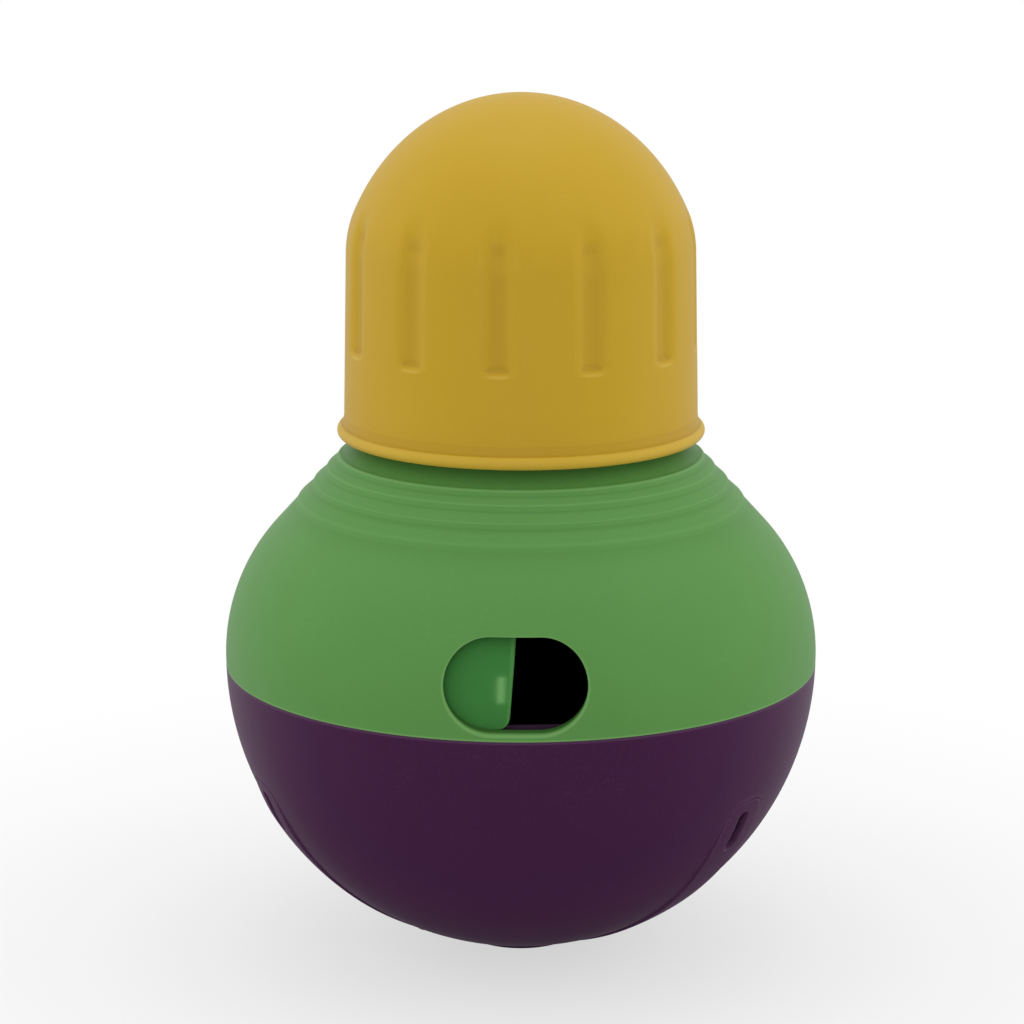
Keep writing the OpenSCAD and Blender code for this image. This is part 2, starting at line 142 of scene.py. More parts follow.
class Wire:
    """One shader value; arithmetic on it adds the Math nodes it needs."""

    def __init__(self, graph: "Graph", socket: Optional[bpy.types.NodeSocket]) -> None:
        """Wrap an output socket of a graph."""
        self.graph = graph
        self.socket = socket

    __add__ = __radd__ = operator("ADD")
    __sub__ = operator("SUBTRACT")
    __rsub__ = operator("SUBTRACT", swapped=True)
    __mul__ = __rmul__ = operator("MULTIPLY")
    __pow__ = operator("POWER")
    __rpow__ = operator("POWER", swapped=True)
    __abs__ = operator("ABSOLUTE")
    largest = operator("MAXIMUM")

    def sibling(self, name: str) -> "Wire":
        """Return another output of the same node."""
        return Wire(self.graph, self.socket.node.outputs[name])

    def ramp(self, low: float, high: float) -> "Wire":
        """Return a smooth step that is 0 below the low level and 1 above the high one.

        Args:
            low: Level where the step starts.
            high: Level where it ends.

        Returns:
            The step's value.
        """
        settings = {"interpolation_type": "SMOOTHSTEP", "clamp": True}
        inputs = {"Value": self, "From Min": low, "From Max": high}
        return self.graph.add("MapRange", settings, inputs)


Value = Union[Wire, float]


class Graph:
    """A node tree that is written as expressions."""

    def __init__(self, tree: bpy.types.NodeTree) -> None:
        """Start from an emptied tree."""
        self.tree = tree
        tree.nodes.clear()

    def add(
        self,
        kind: str,
        settings: Optional[dict[str, Any]] = None,
        inputs: Optional[dict[Union[int, str], Any]] = None,
        out: Union[int, str] = 0,
    ) -> Wire:
        """Add a node, set it up and join its inputs.

        Args:
            kind: The node's type, without the ShaderNode in front.
            settings: Properties that are set first.
            inputs: Values or wires by socket name or place.
            out: The output that is returned.

        Returns:
            A wire on that output.
        """
        node = self.tree.nodes.new("ShaderNode" + kind)
        for key, value in (settings or {}).items():
            setattr(node, key, value)
        for key, value in (inputs or {}).items():
            if isinstance(value, Wire):
                self.tree.links.new(value.socket, node.inputs[key])
            else:
                node.inputs[key].default_value = value
        return Wire(self, node.outputs[out] if node.outputs else None)

    def blend(self, share: Value, first: Any, second: Any) -> Wire:
        """Mix two colours by a share of the second."""
        return self.add("Mix", {"data_type": "RGBA"}, {0: share, 6: first, 7: second}, 2)

    def noise(
        self, coords: Wire, scale: float = 1.0, detail: float = 2.0, bend: float = 0.0
    ) -> Wire:
        """Add a noise value of about 0 to 1 in the given coordinates."""
        inputs = {"Vector": coords, "Scale": scale, "Detail": detail, "Distortion": bend}
        return self.add("TexNoise", None, inputs)

    def stretched(self, coords: Wire, scale: tuple[float, float, float]) -> Wire:
        """Scale coordinates along each axis."""
        return self.add("VectorMath", {"operation": "MULTIPLY"}, {0: coords, 1: scale})

    def bump(self, height: Wire, strength: float) -> Wire:
        """Turn a height in millimetres into a normal."""
        return self.add("Bump", None, {"Strength": strength, "Distance": MM, "Height": height})

    def pointiness(self) -> Wire:
        """Return how far the surface bends outwards, 0.5 where it is flat."""
        return self.add("NewGeometry", out="Pointiness")


@dataclass(frozen=True)
class Finish:
    """What every finish shares: a name, a colour and how rough it is."""

    name: str
    colour: Colour
    roughness: float

    def material(self) -> bpy.types.Material:
        """Return the finish's material, which is made at its first use.

        Returns:
            The material.
        """
        found = bpy.data.materials.get(self.name)
        if found is None:
            found = bpy.data.materials.new(self.name)
            found.use_nodes = True
            graph = Graph(found.node_tree)
            sockets = self.sockets(graph, graph.add("TexCoord", out="Object"))
            shader = graph.add("BsdfPrincipled", None, sockets)
            graph.add("OutputMaterial", None, {"Surface": shader})
        return found

    def sockets(self, graph: Graph, coords: Wire) -> dict[str, Any]:
        """Work out the shader's sockets in object coordinates."""
        raise NotImplementedError


@dataclass(frozen=True)
class MouldedPlastic(Finish):
    """Injection moulded plastic with a fine spark-eroded texture, light handling marks, painted
    shade in its hollows, and edges lightened partly by wear and partly by a painted highlight.
    """

    deep: Colour = BLACK
    rubbed_and_highlight: Colour = WHITE
    hollow_shade: Colour = BLACK
    gloss_tint: Colour = WHITE
    grain: float = 0.03
    specular: float = 0.4
    wear_and_highlight: float = 0.35
    sheen: float = 0.0
    sheen_tint: Colour = WHITE
    edge_levels: Point2 = (0.506, 0.520)
    hollow_shade_levels: Point2 = (0.490, 0.4985)

    def sockets(self, graph: Graph, coords: Wire) -> dict[str, Any]:
        """Work out the plastic's sockets.

        Args:
            graph: The material's node tree.
            coords: Object coordinates in metres.

        Returns:
            Values and wires by socket name.
        """
        cloud = graph.noise(coords, scale=16.0, detail=3.0)
        flow = graph.noise(graph.stretched(coords, (26.0, 26.0, 9.0)), detail=4.0, bend=0.6)
        grain = graph.noise(coords, scale=1500.0)
        line = graph.noise(graph.stretched(coords, (70.0, 70.0, 240.0)), detail=3.0, bend=1.4)
        rubbing = graph.noise(coords, scale=38.0).ramp(0.56, 0.72)
        scuff = (1.0 - abs(line - 0.5).ramp(0.0, 0.012)) * rubbing
        curve = graph.pointiness()
        # Convex edges lighten: partly real wear, partly a painted highlight where the edges catch
        # the light.
        edge = curve.ramp(*self.edge_levels)
        # Concave places get painted shade: they darken towards a darker colour in flutes, creases
        # and grooves.
        hollow_shade_mask = 1.0 - curve.ramp(*self.hollow_shade_levels)
        tint = (cloud.ramp(0.3, 0.75) * 0.5 + flow.ramp(0.35, 0.7) * 0.5) * 0.3
        base = graph.blend(tint, self.colour, self.deep)
        base = graph.blend((grain - 0.5).largest(0.0) * 0.22, base, self.rubbed_and_highlight)
        base = graph.blend(hollow_shade_mask * 0.5, base, self.hollow_shade)
        base = graph.blend(edge * self.wear_and_highlight + scuff * 0.1, base, self.rubbed_and_highlight)
        rough = self.roughness + (cloud - 0.5) * 0.08 + (grain - 0.5) * 0.10 + scuff * 0.08
        height = grain * self.grain - scuff * (self.grain * 0.5) + flow * (self.grain * 0.4)
        return {
            "Base Color": self.paint_inner_shade(graph, coords, base),
            "Roughness": rough,
            "Normal": graph.bump(height, 0.6),
            "Specular IOR Level": self.specular,
            "Specular Tint": self.gloss_tint,
            "Sheen Weight": self.sheen,
            "Sheen Tint": self.sheen_tint,
        }

    def paint_inner_shade(self, graph: Graph, coords: Wire, base: Wire) -> Wire:
        """Return the base colour; a plastic with painted shade on its inside changes it here."""
        return base


@dataclass(frozen=True)
class InnerShadedPlastic(MouldedPlastic):
    """Moulded plastic of the dome's side, with painted shade that darkens it below its outer face.
    """

    inner_shade: Colour = BLACK
    fade: Point2 = (0.35, 2.2)

    def paint_inner_shade(self, graph: Graph, coords: Wire, base: Wire) -> Wire:
        """Paint shade into the base colour, darker with depth below the side's outer face.

        Args:
            graph: The material's node tree.
            coords: Object coordinates in metres.
            base: The colour of the outer face.

        Returns:
            The colour with the darker inside.
        """
        x = graph.add("SeparateXYZ", None, {"Vector": coords})
        y, z = x.sibling("Y"), x.sibling("Z")
        out = (x * x + y * y) ** 0.5 - SIDE_MID[0] * MM
        up = z - SIDE_MID[1] * MM
        depth = SIDE_R * MM - (out * out + up * up) ** 0.5
        return graph.blend(depth.ramp(self.fade[0] * MM, self.fade[1] * MM), base, self.inner_shade)


@dataclass(frozen=True)
class SoftRubber(Finish):
    """Soft overmoulded rubber with a stippled skin, pale dust, and a painted highlight that
    lightens its edges.
    """

    dust_and_highlight: Colour = BLACK
    specular: float = 0.14
    sheen: float = 0.09
    sheen_tint: Colour = srgb(210, 150, 210)
    edge_levels: Point2 = (0.508, 0.525)

    def sockets(self, graph: Graph, coords: Wire) -> dict[str, Any]:
        """Work out the rubber's sockets.

        Args:
            graph: The material's node tree.
            coords: Object coordinates in metres.

        Returns:
            Values and wires by socket name.
        """
        stipple = graph.add("TexVoronoi", {"feature": "F1"}, {"Vector": coords, "Scale": 900.0})
        cloud = graph.noise(coords, scale=60.0, detail=4.0)
        fine = graph.noise(coords, scale=2200.0, detail=1.0)
        edge = graph.pointiness().ramp(*self.edge_levels)
        # The edges lighten by a painted highlight; the stipple and cloud add real pale dust.
        dust_and_highlight_share = stipple.ramp(0.2, 0.8) * 0.08 + cloud.ramp(0.5, 0.8) * 0.08 + edge * 0.4
        return {
            "Base Color": graph.blend(dust_and_highlight_share, self.colour, self.dust_and_highlight),
            "Roughness": self.roughness + (cloud - 0.5) * 0.15,
            "Normal": graph.bump(stipple * -0.05 + fine * 0.02, 0.5),
            "Specular IOR Level": self.specular,
            "Sheen Weight": self.sheen,
            "Sheen Tint": self.sheen_tint,
        }


@dataclass(frozen=True)
class CastIron(Finish):
    """Sand-cast iron with a pitted skin and a few rust spots."""

    rust: Colour = BLACK

    def sockets(self, graph: Graph, coords: Wire) -> dict[str, Any]:
        """Work out the sockets of the casting's skin.

        Args:
            graph: The material's node tree.
            coords: Object coordinates in metres.

        Returns:
            Values and wires by socket name.
        """
        sand = graph.noise(coords, scale=700.0, detail=5.0)
        spots = (graph.noise(coords, scale=45.0, detail=4.0) * sand).ramp(0.30, 0.42)
        return {
            "Base Color": graph.blend(spots * 0.6, self.colour, self.rust),
            "Roughness": self.roughness + spots * 0.2,
            "Metallic": 0.8 - spots * 0.7,
            "Normal": graph.bump(sand * 0.25, 0.8),
        }


@dataclass(frozen=True)
class PlatedSteel(Finish):
    """Zinc plated steel with fine turning marks and a faint straw tint."""

    straw: Colour = BLACK

    def sockets(self, graph: Graph, coords: Wire) -> dict[str, Any]:
        """Work out the plating's sockets.

        Args:
            graph: The material's node tree.
            coords: Object coordinates in metres.

        Returns:
            Values and wires by socket name.
        """
        turned = graph.noise(graph.stretched(coords, (250.0, 250.0, 4000.0)))
        tint = graph.noise(coords, scale=220.0, detail=3.0).ramp(0.4, 0.7)
        return {
            "Base Color": graph.blend(tint * 0.35, self.colour, self.straw),
            "Roughness": self.roughness + (turned - 0.5) * 0.2,
            "Metallic": 1.0,
            "Normal": graph.bump(turned * 0.03, 0.3),
        }


# In the plastics below, the hollow colour is painted shade for concave places; the rubbed colour
# serves both wear and a painted highlight on convex edges.
PLUM_PLASTIC = MouldedPlastic(
    "plum_plastic",
    srgb(66, 25, 65),
    roughness=0.46,
    deep=srgb(59, 20, 58),
    rubbed_and_highlight=srgb(118, 86, 117),
    hollow_shade=srgb(44, 15, 43),
    specular=0.14,
    wear_and_highlight=0.22,
    sheen=0.09,
    sheen_tint=srgb(210, 150, 210),
)
# A darker copy of the plum plastic for the parts inside the toy: painted shade for where they sit
# in the dark.
SHADED_PLUM = MouldedPlastic(
    "shaded_plum",
    srgb(40, 16, 39),
    roughness=0.46,
    deep=srgb(35, 13, 34),
    rubbed_and_highlight=srgb(80, 56, 79),
    hollow_shade=srgb(26, 9, 25),
    specular=0.14,
)
GREEN_PLASTIC = InnerShadedPlastic(
    "green_plastic",
    srgb(90, 146, 72),
    roughness=0.48,
    deep=srgb(83, 138, 65),
    rubbed_and_highlight=srgb(140, 188, 120),
    hollow_shade=srgb(78, 131, 60),
    # Painted shade for the slot's wall and the other faces below the side's outer face.
    inner_shade=srgb(44, 92, 30),
    wear_and_highlight=0.27,
    specular=0.22,
)
YELLOW_PLASTIC = MouldedPlastic(
    "yellow_plastic",
    srgb(198, 160, 36),
    roughness=0.46,
    deep=srgb(188, 149, 28),
    rubbed_and_highlight=srgb(226, 198, 96),
    hollow_shade=srgb(178, 140, 34),
    wear_and_highlight=0.25,
    specular=0.22,
)
SHUTTER_PLASTIC = MouldedPlastic(
    "shutter_gloss",
    srgb(62, 124, 60),
    roughness=0.09,
    deep=srgb(55, 115, 53),
    rubbed_and_highlight=srgb(96, 158, 84),
    hollow_shade=srgb(42, 96, 38),
    gloss_tint=(0.6, 1.0, 0.45, 1.0),
    grain=0.003,
    specular=0.5,
)
PLUM_RUBBER = SoftRubber("plum_rubber", srgb(66, 25, 65), 0.5, dust_and_highlight=srgb(100, 68, 99))
BALLAST_IRON = CastIron("ballast_iron", srgb(96, 95, 97), 0.55, rust=srgb(98, 58, 36))
SCREW_STEEL = PlatedSteel("screw_steel", srgb(176, 177, 180), 0.28, straw=srgb(176, 164, 128))


def between(first: float, last: float, parts: int) -> list[float]:
    """Return evenly spaced values, both ends included."""
    return [first + (last - first) * i / parts for i in range(parts + 1)]


def full_turn(step: float, extra: Iterable[float] = ()) -> list[float]:
    """Return the angles of a full turn, both ends included, with extra ones between."""
    return sorted({*between(-180.0, 180.0, round(360.0 / step)), *extra})


def eased(share: float) -> float:
    """Return a share held between 0 and 1, with soft ends."""
    held = min(1.0, max(0.0, share))
    return held * held * (3.0 - 2.0 * held)


def on_axis(radius: float, angle: float, height: float) -> Vector:
    """Return the point at a radius, angle from the slot and height."""
    turn = math.radians(angle)
    return Vector((radius * math.sin(turn), -radius * math.cos(turn), height))


def ball_low(ball: float, radius: float) -> float:
    """Return the height at a radius of the lower side of a ball about the bowl's centre."""
    return BALL_Z - math.sqrt(ball**2 - radius**2)


def ball_reach(ball: float, height: float) -> float:
    """Return the radius at a height of a ball about the bowl's centre."""
    return math.sqrt(ball**2 - (BALL_Z - height) ** 2)


def arc(
    centre: Point2, radius: float, start: float, end: float, step: float, tall: float = 1.0
) -> list[Point2]:
    """Return points of an arc in a profile.

    Args:
        centre: Radius and height of the arc's centre.
        radius: The arc's radius.
        start: First angle in degrees, from outwards.
        end: Last angle.
        step: Largest angle between points.
        tall: Height of an oval arc for a width of 1.

    Returns:
        The points, both ends included.
    """
    parts = max(2, math.ceil(abs(end - start) / step))
    turns = [math.radians(angle) for angle in between(start, end, parts)]
    rise = tall * radius
    return [(centre[0] + radius * math.cos(t), centre[1] + rise * math.sin(t)) for t in turns]


def bend(first: Vector, corner: Vector, last: Vector, parts: int) -> list[Point2]:
    """Return points of the soft curve that takes a corner's place.

    Args:
        first: Where the curve starts.
        corner: The corner.
        last: Where the curve ends.
        parts: Number of its parts.

    Returns:
        The points, both ends included.
    """
    shares = between(0.0, 1.0, parts)
    return [tuple(first.lerp(corner, s).lerp(corner.lerp(last, s), s)) for s in shares]


def rounded_path(corners: Sequence[tuple[float, ...]], steps: int = 5) -> list[Point2]:
    """Round the corners of a path that carry a radius.

    Args:
        corners: The path's corners; a rounded one has its radius as third number.
        steps: Parts of a large rounding; small ones have fewer or none.

    Returns:
        The path with those corners rounded.
    """
    path: list[Point2] = []
    for place, (x, y, *radius) in enumerate(corners):
        parts = 0
        if radius:
            here = Vector((x, y))
            back = Vector(corners[place - 1][:2]) - here
            ahead = Vector(corners[place + 1][:2]) - here
            room = ROUNDED_SHARE * min(back.length, ahead.length)
            reach = min(radius[0] / math.tan(back.angle(ahead) / 2.0), room)
            parts = min(steps, int(2.0 * reach / LEAST_EDGE))
        if parts:
            first, last = here + back.normalized() * reach, here + ahead.normalized() * reach
            path += bend(first, here, last, parts)
        else:
            path.append((x, y))
    return path


def spaced(corners: Sequence[Point2], spacing: float) -> list[Point2]:
    """Divide the long edges of a closed loop.

    Args:
        corners: The loop's corners, the first one again at its end.
        spacing: Largest distance between points.

    Returns:
        The points, each one once.
    """
    points: list[Point2] = []
    for (x0, y0), (x1, y1) in zip(corners, corners[1:]):
        parts = max(1, math.ceil(math.dist((x0, y0), (x1, y1)) / spacing))
        points += zip(between(x0, x1, parts)[:-1], between(y0, y1, parts)[:-1])
    return [point for i, point in enumerate(points) if math.dist(point, points[i - 1]) > SAME_POINT]


def grid(outline: Sequence[Point2], step: float) -> list[Point2]:
    """Return a staggered grid of map points in an outline's box, clear of its sides.

    Args:
        outline: The outline on the map.
        step: Distance between the points.

    Returns:
        The grid's points.
    """
    low = np.min(outline, axis=0) + step / 2
    high = np.max(outline, axis=0) - step / 2
    rise = step * ROW_RISE
    points = []
    for row in range(int((high[1] - low[1]) / rise) + 1):
        first = low[0] + step / 2 * (row % 2)
        count = int((high[0] - first) / step) + 1
        points += [(first + i * step, low[1] + row * rise) for i in range(count)]
    return points


def inside(points: np.ndarray, loop: Sequence[Point2]) -> np.ndarray:
    """Tell which points lie inside a closed loop.

    Args:
        points: Points as rows.
        loop: The loop's corners.

    Returns:
        One truth value for each point.
    """
    ends = np.asarray(loop)
    hits = np.zeros(len(points), int)
    for (x0, y0), (x1, y1) in zip(np.roll(ends, 1, axis=0), ends):
        if y0 != y1:
            crosses = (points[:, 1] < y0) != (points[:, 1] < y1)
            at = x0 + (points[:, 1] - y0) * (x1 - x0) / (y1 - y0)
            hits += crosses & (points[:, 0] < at)
    return hits % 2 == 1


def within(points: np.ndarray, loops: Sequence[Sequence[Point2]]) -> np.ndarray:
    """Tell which points lie inside the first loop and outside the others.

    Args:
        points: Points as rows.
        loops: The outline and the openings in it.

    Returns:
        One truth value for each point.
    """
    keep = inside(points, loops[0])
    for loop in loops[1:]:
        keep &= ~inside(points, loop)
    return keep


def fillet_steps(radius: float) -> list[Point2]:
    """Return side offsets and depths that lead up to an edge and roll it over a quarter turn.

    Args:
        radius: The roll's radius.

    Returns:
        Offset from the edge and depth below the surface, for each loop.
    """
    turns = between(0.0, math.pi / 2, max(1, round(math.pi / 2 * radius / LEAST_EDGE)))
    roll = [(radius * (1 - math.sin(t)), radius * (1 - math.cos(t))) for t in turns]
    return [(radius + LEAST_EDGE, 0.0)] + roll


class Chart:
    """A flat map of a curved surface, used to cut openings into it."""

    def lift(self, flat: Point2) -> Vector:
        """Return the surface point of a map point."""
        raise NotImplementedError

    def flatten(self, point: Vector) -> Point2:
        """Return the map point of a surface point."""
        raise NotImplementedError

    def normal(self, point: Vector) -> Vector:
        """Return the outward direction at a surface point."""
        raise NotImplementedError

    def flat(self, points: Iterable[Vector]) -> list[Point2]:
        """Return the map points of several surface points."""
        return [self.flatten(point) for point in points]

    def rim(
        self,
        edge: Sequence[Vector],
        steps: Sequence[Point2],
        scales: Optional[Sequence[float]] = None,
    ) -> list[list[Vector]]:
        """Return loops that follow a closed edge.

        Args:
            edge: Points of the edge on the surface.
            steps: Offset outwards along the surface and depth below it, for each loop.
            scales: Size of the steps at each point, 1 where none are given.

        Returns:
            One loop of points for each step.
        """
        sizes = scales or [1.0] * len(edge)
        normals = [self.normal(point) for point in edge]
        ahead = [*edge[1:], edge[0]]
        behind = [edge[-1], *edge[:-1]]
        along = [(there - here).normalized() for there, here in zip(ahead, behind)]
        sides = [up.cross(way).normalized() for up, way in zip(normals, along)]
        probe = self.flatten(edge[0] + sides[0] * PROBE)
        sign = -1.0 if inside(np.array([probe]), self.flat(edge))[0] else 1.0
        loops = []
        for offset, depth in steps:
            loop = []
            for point, size, side, up in zip(edge, sizes, sides, normals):
                moved = point + side * (sign * offset * size)
                if depth == 0.0:
                    moved = self.lift(self.flatten(moved))
                loop.append(moved - up * depth * size)
            loops.append(loop)
        return loops


@dataclass
class BallChart(Chart):
    """Map of a ball about the bowl's centre, by distance from its lowest point."""

    radius: float

    def lift(self, flat: Point2) -> Vector:
        """Return the ball's point of a map point.

        Args:
            flat: The map point.

        Returns:
            The point on the ball.
        """
        away = math.hypot(*flat)
        turn = away / self.radius
        share = self.radius * math.sin(turn) / away if away else 0.0
        return Vector((flat[0] * share, flat[1] * share, BALL_Z - self.radius * math.cos(turn)))

    def flatten(self, point: Vector) -> Point2:
        """Return the map point below a point near the ball.

        Args:
            point: The point.

        Returns:
            The map point.
        """
        plan = math.hypot(point.x, point.y)
        away = self.radius * math.atan2(plan, BALL_Z - point.z)
        share = away / plan if plan else 0.0
        return (point.x * share, point.y * share)

    def normal(self, point: Vector) -> Vector:
        """Return the direction away from the ball's centre."""
        return (point - BALL_MID).normalized()

    def onto(self, point: Vector) -> Vector:
        """Return the ball's point in the direction of a point."""
        return BALL_MID + self.normal(point) * self.radius

    def below(self, plan: Point2) -> Vector:
        """Return the ball's lower point under a plan point."""
        return Vector((*plan, ball_low(self.radius, math.hypot(*plan))))


@dataclass
class SideChart(Chart):
    """Map of the dome's side or a layer behind it: across by angle, up along its arc.

    An upright layer goes straight down below the arc's centre.
    """

    radius: float
    upright: bool = False

    def straight(self, rise: float) -> bool:
        """Tell whether the layer is straight at a height over the arc's centre."""
        return self.upright and rise < 0.0

    def lift(self, flat: Point2) -> Vector:
        """Return the side's point of a map point.

        Args:
            flat: The map point.

        Returns:
            The point on the side.
        """
        across, along = flat
        turn = math.degrees(across / (SIDE_MID[0] + self.radius))
        rise = 0.0 if self.straight(along) else along / self.radius
        height = along if self.straight(along) else self.radius * math.sin(rise)
        return on_axis(SIDE_MID[0] + self.radius * math.cos(rise), turn, SIDE_MID[1] + height)

    def flatten(self, point: Vector) -> Point2:
        """Return the map point of a point near the side.

        Args:
            point: The point.

        Returns:
            The map point.
        """
        out = math.hypot(point.x, point.y) - SIDE_MID[0]
        up = point.z - SIDE_MID[1]
        along = up if self.straight(up) else self.radius * math.atan2(up, out)
        return ((SIDE_MID[0] + self.radius) * math.atan2(point.x, -point.y), along)

    def normal(self, point: Vector) -> Vector:
        """Return the outward direction of the side.

        Args:
            point: A point near the side.

        Returns:
            The direction.
        """
        middle = Vector((point.x, point.y, 0.0)).normalized() * SIDE_MID[0]
        middle.z = point.z if self.straight(point.z - SIDE_MID[1]) else SIDE_MID[1]
        return (point - middle).normalized()

    def behind(self, across: float, height: float) -> Vector:
        """Return the side's front point at an offset across and a height.

        Args:
            across: Offset to the right.
            height: Height above the floor.

        Returns:
            The point on the side.
        """
        up = height - SIDE_MID[1]
        out = self.radius if self.straight(up) else math.sqrt(self.radius**2 - up**2)
        return Vector((across, -math.sqrt((SIDE_MID[0] + out) ** 2 - across**2), height))


class Shell:
    """Points and faces of one piece, gathered in millimetres."""

    def __init__(self) -> None:
        """Start empty."""
        self.points: list[Vector] = []
        self.faces: list[tuple[int, ...]] = []

    def loop(self, points: Iterable[Vector]) -> list[int]:
        """Add points and return their places.

        Args:
            points: The points.

        Returns:
            Their places.
        """
        start = len(self.points)
        self.points.extend(points)
        return list(range(start, len(self.points)))

    def bridge(self, loops: Iterable[Sequence[Vector]], closed: bool = True) -> None:
        """Join each loop to the next with a band of faces.

        Args:
            loops: Loops with equal numbers of points.
            closed: Whether each loop runs back to its first point.
        """
        rows = [self.loop(points) for points in loops]
        for low, high in zip(rows, rows[1:]):
            for i in range(len(low) if closed else len(low) - 1):
                k = (i + 1) % len(low)
                self.faces.append((low[i], low[k], high[k], high[i]))

    def loft(self, rows: Sequence[Sequence[Vector]]) -> None:
        """Join closed loops into a bar and close its ends."""
        self.bridge(rows)
        self.faces += [tuple(self.loop(row)) for row in (rows[0], rows[-1])]

    def sweep(self, section: Sequence[Point2], angles: Iterable[float]) -> None:
        """Turn a closed section through part of a turn and close its ends."""
        self.loft([[on_axis(r, a, z) for r, z in section] for a in angles])

    def lathe(
        self,
        profile: Sequence[Point2],
        angles: Sequence[float],
        radius: Optional[Callable[[float, float, float], float]] = None,
        middle: Vector = Vector(),
    ) -> None:
        """Turn a profile about the axis.

        Args:
            profile: Radius and height of each point.
            angles: Angles of the columns; a full turn gives its end twice.
            radius: Changes a point's radius by radius, height and angle.
            middle: A point of the axis, where it isn't the toy's own.
        """
        rows = []
        for r, z in profile:
            rows.append([middle + on_axis(radius(r, z, a) if radius else r, a, z) for a in angles])
        self.bridge(rows, closed=False)

    def splice(
        self, first: Point2, second: Point2, few: Sequence[float], many: Sequence[float]
    ) -> None:
        """Join a ring of few columns to a ring that has more columns between them.

        Args:
            first: Radius and height of the ring with few columns.
            second: Radius and height of the ring with many columns.
            few: Angles of the few columns.
            many: Angles of the many columns, the few among them.
        """
        plain = self.loop(on_axis(first[0], a, first[1]) for a in few)
        dense = self.loop(on_axis(second[0], a, second[1]) for a in many)
        for i, (start, end) in enumerate(zip(few, few[1:])):
            span = [place for place, a in zip(dense, many) if start <= a <= end]
            self.faces.append((plain[i], plain[i + 1], *reversed(span)))

    def patch(
        self,
        chart: Chart,
        loops: Sequence[Sequence[Point2]],
        filling: Sequence[Point2],
        spacing: float,
    ) -> None:
        """Cover part of a curved surface, leaving openings in it.

        Args:
            chart: The surface's map.
            loops: The outer edge on the map, then the edges of the openings.
            filling: Map points that may be used between the edges.
            spacing: Distance of those points from each other.
        """
        coords = [point for loop in loops for point in loop]
        edges: list[tuple[int, int]] = []
        for loop in loops:
            first, count = len(edges), len(loop)
            edges += [(first + i, first + (i + 1) % count) for i in range(count)]
        if filling:
            free = np.array(filling)
            free = free[within(free, loops)]
            for x, y in coords:
                free = free[np.hypot(free[:, 0] - x, free[:, 1] - y) >= KEEP_OFF * spacing]
            coords += [tuple(point) for point in free]
        spots = [Vector(point) for point in coords]
        flat, _, faces, *_ = delaunay_2d_cdt(spots, edges, [], 0, MAP_NEAR)
        corners = np.array([tuple(point) for point in flat])[np.array(faces)]
        one, two = corners[:, 1] - corners[:, 0], corners[:, 2] - corners[:, 0]
        keep = np.abs(one[:, 0] * two[:, 1] - one[:, 1] * two[:, 0]) > SLIVER
        keep &= within(corners.mean(axis=1), loops)
        base = self.loop(chart.lift(tuple(point)) for point in flat)[0]
        self.faces += [tuple(base + i for i in f) for f, good in zip(faces, keep) if good]

    def piece(self, name: str, crease: float = 55.0) -> bpy.types.Object:
        """Make the piece's object.

        Args:
            name: The object's name.
            crease: Edges sharper than this angle stay sharp.

        Returns:
            The object, linked to the scene.
        """
        mesh = bpy.data.meshes.new(name)
        mesh.from_pydata([point * MM for point in self.points], [], self.faces)
        work = bmesh.new()
        work.from_mesh(mesh)
        bmesh.ops.remove_doubles(work, verts=work.verts, dist=WELD)
        bmesh.ops.dissolve_degenerate(work, edges=work.edges, dist=EMPTY_EDGE)
        bmesh.ops.recalc_face_normals(work, faces=work.faces)
        work.to_mesh(mesh)
        work.free()
        return shaded(name, mesh, crease)


def shaded(name: str, mesh: bpy.types.Mesh, crease: float) -> bpy.types.Object:
    """Shade a mesh smooth and put it into the scene.

    Args:
        name: The object's name.
        mesh: Its mesh.
        crease: Edges sharper than this angle stay sharp.

    Returns:
        The object.
    """
    mesh.shade_smooth()
    mesh.set_sharp_from_angle(angle=math.radians(crease))
    return linked(name, mesh)


def linked(name: str, data: bpy.types.ID) -> bpy.types.Object:
    """Put a mesh, lamp or camera into the scene.

    Args:
        name: The object's name.
        data: What the object shows.

    Returns:
        The object.
    """
    thing = bpy.data.objects.new(name, data)
    bpy.context.scene.collection.objects.link(thing)
    return thing


@dataclass(frozen=True)
class Seat:
    """What a piece is called, the solid it stands for, its body, its slot and its finish."""

    name: str
    node: str
    body: Body
    slot: Slot
    finish: Finish


class Part:
    """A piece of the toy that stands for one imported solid."""

    seat: Seat
    shell: Shell

    def shape(self) -> None:
        """Fill the piece's shell."""
        raise NotImplementedError

    def build(self) -> bpy.types.Object:
        """Shape the piece and make its object.

        Returns:
            The object.
        """
        self.shell = Shell()
        self.shape()
        return self.shell.piece(self.seat.name)

    def dress(self) -> None:
        """Build the piece, give it its finish and tie it to the frame."""
        thing = self.build()
        thing.data.materials.append(self.seat.finish.material())
        body = self.seat.body.value
        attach(thing, body)
        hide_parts(self.seat.node)
        LOG.info("%s: %d faces, rides on %s", thing.name, len(thing.data.polygons), body)


